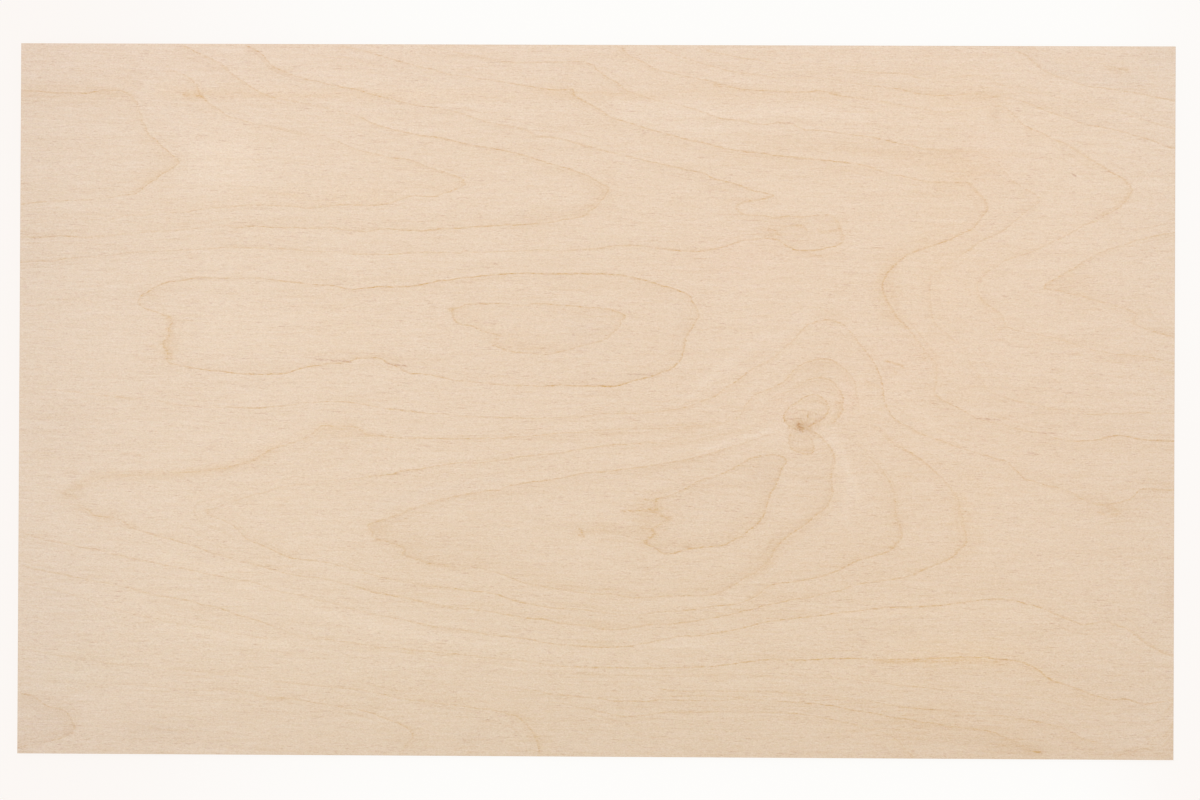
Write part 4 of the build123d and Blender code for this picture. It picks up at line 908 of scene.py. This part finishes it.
def make_sheet():
    """The whole sheet as one closed mesh: a fine show face, the sawn sides ply by ply, and the back."""
    xs = spaced(LENGTH, KNOT[0], 15.0, 1.45, 0.7)
    ys = spaced(WIDTH, KNOT[1], 15.0, 1.5, 0.75)
    nx, ny = len(xs), len(ys)
    gx, gy = np.meshgrid(xs, ys)
    face = np.column_stack([gx.ravel(), gy.ravel(), np.full(nx * ny, THICK)])
    index = np.arange(nx * ny).reshape(ny, nx)
    cells = np.stack([index[:-1, :-1], index[:-1, 1:], index[1:, 1:], index[1:, :-1]], -1).reshape(-1, 4)

    ring = np.concatenate([index[0, :-1], index[:-1, -1], index[-1, :0:-1], index[:0:-1, 0]])
    around = len(ring)
    corner = np.cumsum([0, nx - 1, ny - 1, nx - 1])
    side_of = np.searchsorted(corner, np.arange(around), side="right") - 1
    rim = face[ring, :2]
    full = rim.copy()
    for axis, size in ((0, LENGTH), (1, WIDTH)):
        full[rim[:, axis] < ARRIS + 1e-6, axis] = 0.0
        full[rim[:, axis] > size - ARRIS - 1e-6, axis] = size
    inward = np.zeros((around, 2))
    inward[full[:, 0] == 0.0, 0] = 1.0
    inward[full[:, 0] == LENGTH, 0] = -1.0
    inward[full[:, 1] == 0.0, 1] = 1.0
    inward[full[:, 1] == WIDTH, 1] = -1.0

    # down the side: the arris, the face ply, a glue line, the core ply, a glue line, the back ply
    rng = np.random.default_rng(7)
    levels = [(2.88, 0.0, 0.012), (2.03, 0.0, 0.02), (1.97, 0.05, 0.02), (1.03, 0.05, 0.02), (0.97, 0.0, 0.02), (0.12, 0.0, 0.012)]
    verts = [face]
    rows = [ring]
    for z, step, rough in levels:
        dent = np.abs(rng.normal(step, rough, around)).clip(0, 0.09)
        if z in (2.88, 0.12):
            dent *= 0.5
        place = full + inward * dent[:, None]
        rows.append(np.arange(around) + sum(len(v) for v in verts))
        verts.append(np.column_stack([place, np.full(around, z)]))
    rows.append(np.arange(around) + sum(len(v) for v in verts))
    verts.append(np.column_stack([rim, np.zeros(around)]))

    inner = []
    for inset, gap in ((3.0, 3.6), (9.0, 9.0), (22.0, 19.0)):
        w, h = LENGTH - 2 * inset, WIDTH - 2 * inset
        u = np.linspace(0, w, round(w / gap) + 1)
        v = np.linspace(0, h, round(h / gap) + 1)
        inner += [(inset + s, inset) for s in u] + [(inset + s, WIDTH - inset) for s in u]
        inner += [(inset, inset + s) for s in v[1:-1]] + [(LENGTH - inset, inset + s) for s in v[1:-1]]
    w, h = LENGTH - 90, WIDTH - 90
    inner += [(45 + w * i / 14, 45 + h * j / 8) for i in range(15) for j in range(9)]
    back = np.vstack([rim, np.array(inner)])
    edges = [(i, (i + 1) % around) for i in range(around)]
    out, _, tris, origin, _, _ = delaunay_2d_cdt([Vector(p) for p in back.tolist()], edges, [], 1, 1e-5)
    if len(out) != len(back):
        raise SystemExit("the back's points were merged")
    start = sum(len(v) for v in verts)
    number = np.concatenate([rows[-1], start + np.arange(len(inner))])
    number = number[[o[0] for o in origin]]
    verts.append(np.column_stack([np.array(inner), np.zeros(len(inner))]))

    # texture places: the show face above, the back below it, and the sides in thin strips at the foot
    polygons, slots, maps = [], [], []
    top_u, top_v = 0.003 + 0.994 * xs / LENGTH, 0.382 + 0.615 * ys / WIDTH
    flat = np.stack(np.meshgrid(top_u, top_v), -1).reshape(-1, 2)
    polygons += cells.tolist()
    slots += [0] * len(cells)
    maps.append(flat[cells].reshape(-1, 2))
    heights = np.concatenate([[0.0], np.cumsum([0.17, 0.85, 0.08, 0.94, 0.08, 0.85, 0.17])])
    heights /= heights[-1]
    strips = [(0.003, 0.003, 0.994), (0.030, 0.505, 0.49), (0.0165, 0.003, 0.994), (0.030, 0.003, 0.49)]
    for side in range(4):
        mine = np.flatnonzero(side_of == side)
        low_v, low_u, wide = strips[side]
        size = LENGTH if side in (0, 2) else WIDTH
        along = full[:, 0] if side in (0, 2) else full[:, 1]
        u = low_u + wide * along / size
        for r in range(len(rows) - 1):
            a, b = mine, (mine + 1) % around
            quads = np.stack([rows[r][a], rows[r + 1][a], rows[r + 1][b], rows[r][b]], -1)
            hi, lo = low_v + 0.0105 * (1 - heights[r]), low_v + 0.0105 * (1 - heights[r + 1])
            uv = np.stack([np.stack([u[a], np.full(len(a), hi)], -1), np.stack([u[a], np.full(len(a), lo)], -1),
                           np.stack([u[b], np.full(len(a), lo)], -1), np.stack([u[b], np.full(len(a), hi)], -1)], 1)
            polygons += quads.tolist()
            slots += [2] * len(quads)
            maps.append(uv.reshape(-1, 2))
    tris = np.array([list(t)[::-1] for t in tris])
    place = np.array([list(v) for v in out])
    back_uv = np.column_stack([0.997 - 0.994 * place[:, 0] / LENGTH, 0.046 + 0.332 * place[:, 1] / WIDTH])
    polygons += number[tris].tolist()
    slots += [1] * len(tris)
    maps.append(back_uv[tris].reshape(-1, 2))

    points = np.vstack(verts)
    mesh = bpy.data.meshes.new("plywood_sheet")
    mesh.from_pydata(((points - np.array([LENGTH / 2, WIDTH / 2, 0.0])) / 1000.0).tolist(), [], polygons)
    mesh.polygons.foreach_set("material_index", slots)
    layer = mesh.uv_layers.new(name="OFBake")
    layer.data.foreach_set("uv", np.concatenate(maps).astype(np.float32).ravel())
    mesh.validate()
    mesh.shade_flat()

    line, (near, next_to), tone, clear = figure(points[:, :2])
    carried = {
        "growth_line": line[:, :3],
        "line_shade": line[:, 3:],
        "mark_a": near[:, :3],
        "mark_b": next_to[:, :3],
        "broad_tone_and_shade": tone,
    }
    for name, values in carried.items():
        layer = mesh.attributes.new(name, "FLOAT_VECTOR", "POINT")
        layer.data.foreach_set("vector", values.astype(np.float32).ravel())
    for name, values in (("ochre_a", near[:, 3]), ("ochre_b", next_to[:, 3]), ("clear", clear)):
        layer = mesh.attributes.new(name, "FLOAT", "POINT")
        layer.data.foreach_set("value", values.astype(np.float32).ravel())
    mesh.update()
    sheet = bpy.data.objects.new("birch_sheet", mesh)
    bpy.context.collection.objects.link(sheet)
    return sheet


class Wire:
    """A number that runs through a material's nodes. Sums and products of wires make the nodes for them."""

    def __init__(self, tree, socket):
        self.tree, self.socket = tree, socket

    def math(self, operation, other=None, third=None, turned=False):
        node = self.tree.nodes.new("ShaderNodeMath")
        node.operation = operation
        given = [self, other, third]
        if turned:
            given = [other, self, third]
        for slot, value in zip(node.inputs, given):
            if isinstance(value, Wire):
                self.tree.links.new(value.socket, slot)
            elif value is not None:
                slot.default_value = value
        return Wire(self.tree, node.outputs[0])

    def __add__(self, o):
        return self.math("ADD", o)

    __radd__ = __add__

    def __mul__(self, o):
        return self.math("MULTIPLY", o)

    __rmul__ = __mul__

    def __sub__(self, o):
        return self.math("SUBTRACT", o)

    def __rsub__(self, o):
        return self.math("SUBTRACT", o, turned=True)

    def __truediv__(self, o):
        return self.math("DIVIDE", o)

    def __neg__(self):
        return self.math("MULTIPLY", -1.0)

    def power(self, o):
        return self.math("POWER", o)

    def least(self, o):
        return self.math("MINIMUM", o)

    def most(self, o):
        return self.math("MAXIMUM", o)

    def size(self):
        return self.math("ABSOLUTE")

    def part(self):
        return self.math("FRACT")

    def wave(self):
        return self.math("SINE")

    def bell(self):
        """exp(-v * v)"""
        return (self * self * -1.0).math("EXPONENT")

    def falls(self):
        """exp(-v)"""
        return (self * -1.0).math("EXPONENT")

    def rises(self, low, high):
        """0 below low, 1 above high, smooth between."""
        node = self.tree.nodes.new("ShaderNodeMapRange")
        node.interpolation_type = "SMOOTHSTEP"
        self.tree.links.new(self.socket, node.inputs["Value"])
        node.inputs["From Min"].default_value = low
        node.inputs["From Max"].default_value = high
        return Wire(self.tree, node.outputs["Result"])


class Paint:
    """A material in the making: its places in millimetres, its noises, and its colour in steps off bare birch."""

    def __init__(self, name, base):
        self.material = bpy.data.materials.new(name)
        self.material.use_nodes = True
        self.tree = self.material.node_tree
        self.tree.nodes.clear()
        self.base = base
        spot = self.tree.nodes.new("ShaderNodeTexCoord")
        split = self.tree.nodes.new("ShaderNodeSeparateXYZ")
        self.tree.links.new(spot.outputs["Object"], split.inputs[0])
        self.x, self.y, self.z = (Wire(self.tree, s) * 1000.0 for s in split.outputs)
        self.taken = []

    def read(self, name):
        """A vector the mesh carries, as three wires."""
        node = self.tree.nodes.new("ShaderNodeAttribute")
        node.attribute_name = name
        split = self.tree.nodes.new("ShaderNodeSeparateXYZ")
        self.tree.links.new(node.outputs["Vector"], split.inputs[0])
        return [Wire(self.tree, s) for s in split.outputs]

    def read_one(self, name):
        node = self.tree.nodes.new("ShaderNodeAttribute")
        node.attribute_name = name
        return Wire(self.tree, node.outputs["Fac"])

    def noise(self, u, v, seed, detail=0.0, rough=0.5, w=None):
        """Smooth noise about 0, mostly within +-1, over two or three wires."""
        join = self.tree.nodes.new("ShaderNodeCombineXYZ")
        self.tree.links.new((u + seed * 7.31).socket, join.inputs[0])
        self.tree.links.new((v - seed * 3.77).socket, join.inputs[1])
        self.tree.links.new((u * 0.31 + v * 0.47 if w is None else w).socket, join.inputs[2])
        node = self.tree.nodes.new("ShaderNodeTexNoise")
        node.noise_dimensions = "3D"
        node.inputs["Scale"].default_value = 1.0
        node.inputs["Detail"].default_value = detail
        node.inputs["Roughness"].default_value = rough
        self.tree.links.new(join.outputs[0], node.inputs["Vector"])
        return (Wire(self.tree, node.outputs["Fac"]) - 0.5) * 3.2

    def take(self, tone, steps):
        """Takes steps of a tone off the colour. steps is a wire."""
        node = self.tree.nodes.new("ShaderNodeVectorMath")
        node.operation = "SCALE"
        node.inputs[0].default_value = tone
        self.tree.links.new(steps.socket, node.inputs["Scale"])
        self.taken.append(node.outputs[0])

    def vector(self, operation, a, b):
        node = self.tree.nodes.new("ShaderNodeVectorMath")
        node.operation = operation
        for slot, value in zip(node.inputs, (a, b)):
            if isinstance(value, bpy.types.NodeSocket):
                self.tree.links.new(value, slot)
            else:
                slot.default_value = value
        return node.outputs[0]

    def finish(self, height, depth, rough, shine=0.25):
        total = self.taken[0]
        for more in self.taken[1:]:
            total = self.vector("ADD", total, more)
        colour = self.vector("SUBTRACT", (1.0, 1.0, 1.0), total)
        colour = self.vector("MULTIPLY", colour, self.base)
        shader = self.tree.nodes.new("ShaderNodeBsdfPrincipled")
        shader.inputs["Specular IOR Level"].default_value = shine
        self.tree.links.new(colour, shader.inputs["Base Color"])
        self.tree.links.new(rough.socket, shader.inputs["Roughness"])
        bump = self.tree.nodes.new("ShaderNodeBump")
        bump.inputs["Strength"].default_value = 1.0
        bump.inputs["Distance"].default_value = depth
        self.tree.links.new(height.socket, bump.inputs["Height"])
        self.tree.links.new(bump.outputs[0], shader.inputs["Normal"])
        out = self.tree.nodes.new("ShaderNodeOutputMaterial")
        self.tree.links.new(shader.outputs[0], out.inputs["Surface"])
        return self.material


PORE = (0.0066, 0.0106, 0.0119)
BLUE = (0.0, 0.0, 0.0053)
BARE = (0.741, 0.577, 0.430)


def fibres(p, y):
    """Wood fibres along X, from broad soft streaks down to single vessels: (tan steps, grey steps, pore steps, fine relief)."""
    broad = p.noise(p.x / 46.0, y / 3.0, 1, 1.0)
    streak = p.noise(p.x / 13.0, y / 1.1, 2)
    hair = p.noise(p.x / 4.2, y / 0.50, 3, 1.0)
    thread = p.noise(p.x / 20.0, y / 0.40, 10, 1.0).rises(0.30, 1.0)
    dash = p.noise(p.x / 5.0, y / 0.60, 7).rises(0.25, 1.0)
    fleck = p.noise(p.x / 2.0, y / 0.38, 4).rises(0.45, 1.0)
    thin = p.noise(p.x / 5.0, y / 0.32, 5).rises(0.55, 1.1)
    grain = p.noise(p.x / 0.66, y / 0.44, 9)
    where = p.noise(p.x / 24.0, y / 5.0, 6) * 0.5 + 1.0
    mottle = p.noise(p.x / 3.0, y / 0.9, 38) * 1.2
    tan = broad * 1.7 + streak * 1.5 + hair * 1.7 + dash * 3.0 + thread * 6.5 + grain * 4.4 + mottle - 1.6
    grey = broad * 0.4 + streak * 0.6 + p.noise(p.x / 1.3, y / 0.6, 8) * 2.2 + grain * 3.6 - mottle
    pore = (fleck * 11.5 + thin * 16.0) * where - 1.15
    fine = hair * 0.5 + streak * 0.3 - fleck * 0.8
    p.take(ROSE, p.noise(p.x / 0.8, y / 0.50, 18) * 2.3 + p.noise(p.x / 4.0, y / 1.4, 19) * 1.0)
    p.take(BLUE, p.noise(p.x / 0.7, y / 0.50, 28) * 4.6 + p.noise(p.x / 4.0, y / 1.4, 29) * 1.8)
    return tan, grey, pore, fine


def face_material():
    p = Paint("birch_face", BARE)
    side, far, lean = p.read("growth_line")
    weight, shade_tan, shade_grey = p.read("line_shade")
    # the broad tone read here is partly the wood's own colour and partly painted shade, the fall of the light across
    # the sheet
    tone_and_shade_tan, tone_and_shade_grey, tone_rose = p.read("broad_tone_and_shade")

    # the fibres run along X and part around the knot
    kx, ky = p.x - (KNOT[0] - LENGTH / 2), p.y - (KNOT[1] - WIDTH / 2)
    parted = ky * -70.0 / (kx * kx + ky * ky + 88.0)
    wander = p.y + p.noise(p.x / 70.0, p.y / 30.0, 11) * 0.8 + parted
    tan, grey, pore, fine = fibres(p, wander)

    # the growth line itself, broken into fine teeth along the fibres
    teeth = p.noise(p.x / 2.6, wander / 0.40, 12, 1.0) * 0.62
    s = side + lean * teeth + p.noise(p.x / 3.0, wander / 1.2, 13) * 0.17
    on = 1.0 - far.rises(1.3, 2.1)
    along = (1.0 + p.noise(p.x / 2.4, wander / 0.42, 14, 1.0) * 1.3).most(0.12)
    steep = lean.size()
    core = ((s / 0.27).bell() + (s / 1.1).bell() * s.rises(-0.2, 0.3) * steep * 0.3) * on * along * weight * (1.0 - steep * 0.25)
    late = (s.most(0.0) / 5.4).bell() * s.rises(-0.45, 0.45) * (steep * 0.4 + 1.1)
    broken = 1.0 + p.noise(p.x / 10.0, wander / 0.8, 17) * 0.38
    # faint seams that keep beside a growth line, as the wood of the same months
    seams = p.noise(side / 0.80, p.x / 34.0, 41, w=p.y / 34.0).rises(0.25, 1.2) * p.read_one("clear") * (along * 0.5 + 0.5)
    p.take(TAN, tan + core * 21.5 + (late * shade_tan + tone_and_shade_tan) * broken + seams * 4.5)
    p.take(GREY, grey + late * shade_grey + tone_and_shade_grey + seams * 0.8)

    # short mineral dashes and ochre flecks
    broken = (0.75 + p.noise(p.x / 1.5, wander / 0.4, 16) * 0.75).most(0.0)
    jitter = p.noise(p.x / 2.0, wander / 0.5, 15) * 0.45
    p.take(PORE, pore)
    p.take(ROSE, tone_rose)
    for which in "ab":
        across, off, purple = p.read("mark_" + which)
        dash = (across + jitter).bell() * (1.0 - off.rises(1.1, 1.8)) * broken
        p.take(PORE, dash * purple * 14.0)
        p.take(TAN, dash * p.read_one("ochre_" + which) * 11.0)
    rough = fine * 0.03 + 0.62
    return p.finish(fine, 0.00002, rough)


def back_material():
    p = Paint("birch_back", tuple(c * 0.97 for c in BARE))
    x, y = p.x, p.y
    wander = y + p.noise(x / 90.0, y / 26.0, 21) * 1.2
    tan, grey, pore, fine = fibres(p, wander)
    rise = p.noise((x + p.noise(x / 60.0, y / 30.0, 22, 1.0) * 14.0) / 260.0, y / 62.0, 23, 2.0, 0.35) * 3.4 + y / 70.0
    teeth = p.noise(x / 7.0, wander / 0.9, 24, 1.0) * 0.045
    ring = (rise + teeth).part()
    core = ((ring - 0.5) / 0.030).bell()
    late = ((ring - 0.5) / 0.25).falls() * (ring - 0.5).rises(-0.02, 0.02)
    along = 1.0 + p.noise(x / 9.0, y / 4.0, 25, 1.0) * 0.5
    p.take(TAN, tan + core * along * 6.5 + late * 2.2 + p.noise(x / 120.0, y / 30.0, 26, 1.0) * 2.2)
    p.take(GREY, grey + p.noise(x / 70.0, y / 22.0, 27) * 1.2)
    p.take(PORE, pore * 1.15)
    return p.finish(fine, 0.000025, fine * 0.03 + 0.64)


def edge_material():
    p = Paint("birch_edge", (0.66, 0.49, 0.335))
    x, y, z = p.x, p.y, p.z
    end = (x.size() - 247.3).rises(0.0, 0.05)                # 1 on the two short sides
    run = x * (1.0 - end) + y * end                          # millimetres along the side
    core = (z - 0.97).rises(0.0, 0.06) * (1.0 - (z - 1.97).rises(0.0, 0.06))
    cut = core * (1.0 - end) + (1.0 - core) * end            # 1 where the ply shows end grain
    glue = ((z - 1.0) / 0.055).bell() + ((z - 2.0) / 0.055).bell()
    lengthwise = p.noise(run / 9.0, z / 0.16, 31, 2.0) * 2.4 + p.noise(run / 2.4, z / 0.1, 32) * 2.0
    pores = p.noise(run / 0.22, z / 0.16, 33, 1.0).rises(0.2, 0.9)
    rays = p.noise(run / 0.35, z / 2.2, 34, 1.0) * 2.6
    scorch = p.noise(run / 22.0, z / 6.0, 35, 1.0).rises(0.1, 1.2)
    tan = lengthwise * (1.0 - cut) + (pores * 9.0 + rays + 9.0) * cut + glue * 15.0 + scorch * 3.0
    p.take(TAN, tan)
    p.take(GREY, cut * 6.0 + scorch * 2.0 + glue * 4.0)
    saw = p.noise(run / 0.5, z / 5.0, 36, 1.0)
    fine = saw * 0.6 + lengthwise * 0.1 - pores * cut * 0.5 - glue * 0.6
    return p.finish(fine, 0.00005, saw * 0.02 + 0.78, 0.2)


sheet = make_sheet()
for make in (face_material, back_material, edge_material):
    sheet.data.materials.append(make())
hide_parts("plywood_sheet")
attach(sheet, "root")


# A pale studio floor, lit softly all round, which also glows by itself: painted light that keeps it bright with no
# shadow round the sheet, dimmer and warmer to the sheet's left and right.
def make_floor():
    mesh = bpy.data.meshes.new("studio_floor")
    bm = bmesh.new()
    bmesh.ops.create_circle(bm, cap_ends=True, segments=96, radius=30.0)
    bm.to_mesh(mesh)
    bm.free()
    floor = bpy.data.objects.new("studio_floor", mesh)
    floor.location.z = -0.0001
    bpy.context.collection.objects.link(floor)
    material = bpy.data.materials.new("pale_floor")
    material.use_nodes = True
    tree = material.node_tree
    shader = tree.nodes["Principled BSDF"]
    shader.inputs["Base Color"].default_value = (0.075, 0.074, 0.072, 1.0)
    shader.inputs["Roughness"].default_value = 0.9
    shader.inputs["Specular IOR Level"].default_value = 0.0
    spot = tree.nodes.new("ShaderNodeTexCoord")
    split = tree.nodes.new("ShaderNodeSeparateXYZ")
    tree.links.new(spot.outputs["Object"], split.inputs[0])
    x, y = Wire(tree, split.outputs[0]), Wire(tree, split.outputs[1])
    # painted light: the floor's glow grows dimmer and warmer towards the left and right of the sheet
    warm_glow = (x * -1.0).rises(0.05, 0.27) * 0.85 + x.rises(0.20, 0.27) * (0.75 - y.rises(-0.16, 0.16) * 0.35)
    mix = tree.nodes.new("ShaderNodeMix")
    mix.data_type = "RGBA"
    colours = [s for s in mix.inputs if s.type == "RGBA"]
    colours[0].default_value = (0.991, 0.982, 0.965, 1.0)
    colours[1].default_value = (0.973, 0.925, 0.895, 1.0)
    tree.links.new(warm_glow.socket, [i for i in mix.inputs if i.name == "Factor" and i.type == "VALUE"][0])
    tree.links.new([s for s in mix.outputs if s.type == "RGBA"][0], shader.inputs["Emission Color"])
    # painted light: the floor glows by itself, so no shadow falls round the sheet
    shader.inputs["Emission Strength"].default_value = 0.915
    mesh.materials.append(material)


make_floor()

world = bpy.data.worlds.new("studio")
world.use_nodes = True
bpy.context.scene.world = world
tree = world.node_tree
sky = tree.nodes["Background"]
spot = tree.nodes.new("ShaderNodeTexCoord")
split = tree.nodes.new("ShaderNodeSeparateXYZ")
tree.links.new(spot.outputs["Generated"], split.inputs[0])
up = Wire(tree, split.outputs[2]).rises(0.02, 0.6)
mix = tree.nodes.new("ShaderNodeMix")
mix.data_type = "RGBA"
colours = [s for s in mix.inputs if s.type == "RGBA"]
colours[0].default_value = (0.972, 0.957, 0.935, 1.0)
colours[1].default_value = (0.84, 0.84, 0.84, 1.0)
tree.links.new(up.socket, [i for i in mix.inputs if i.name == "Factor" and i.type == "VALUE"][0])
tree.links.new([s for s in mix.outputs if s.type == "RGBA"][0], sky.inputs["Color"])
sky.inputs["Strength"].default_value = 1.0

sun = bpy.data.lights.new("soft_key", "SUN")
sun.energy = 0.75
sun.angle = math.radians(50)
key = bpy.data.objects.new("soft_key", sun)
key.rotation_euler = Vector((-0.30, 0.42, 1.0)).to_track_quat("Z", "Y").to_euler()
bpy.context.collection.objects.link(key)

# Straight above the sheet, as the picture was taken.
lens = bpy.data.cameras.new("camera")
lens.sensor_width = 36.0
lens.lens = 60.0
camera = bpy.data.objects.new("camera", lens)
camera.location = (0.00943, -0.00331, 0.85976)
camera.rotation_euler = [math.radians(a) for a in (0.2392, 0.4994, 0.2518)]
bpy.context.collection.objects.link(camera)
bpy.context.scene.camera = camera
bpy.context.scene.view_settings.view_transform = "Standard"
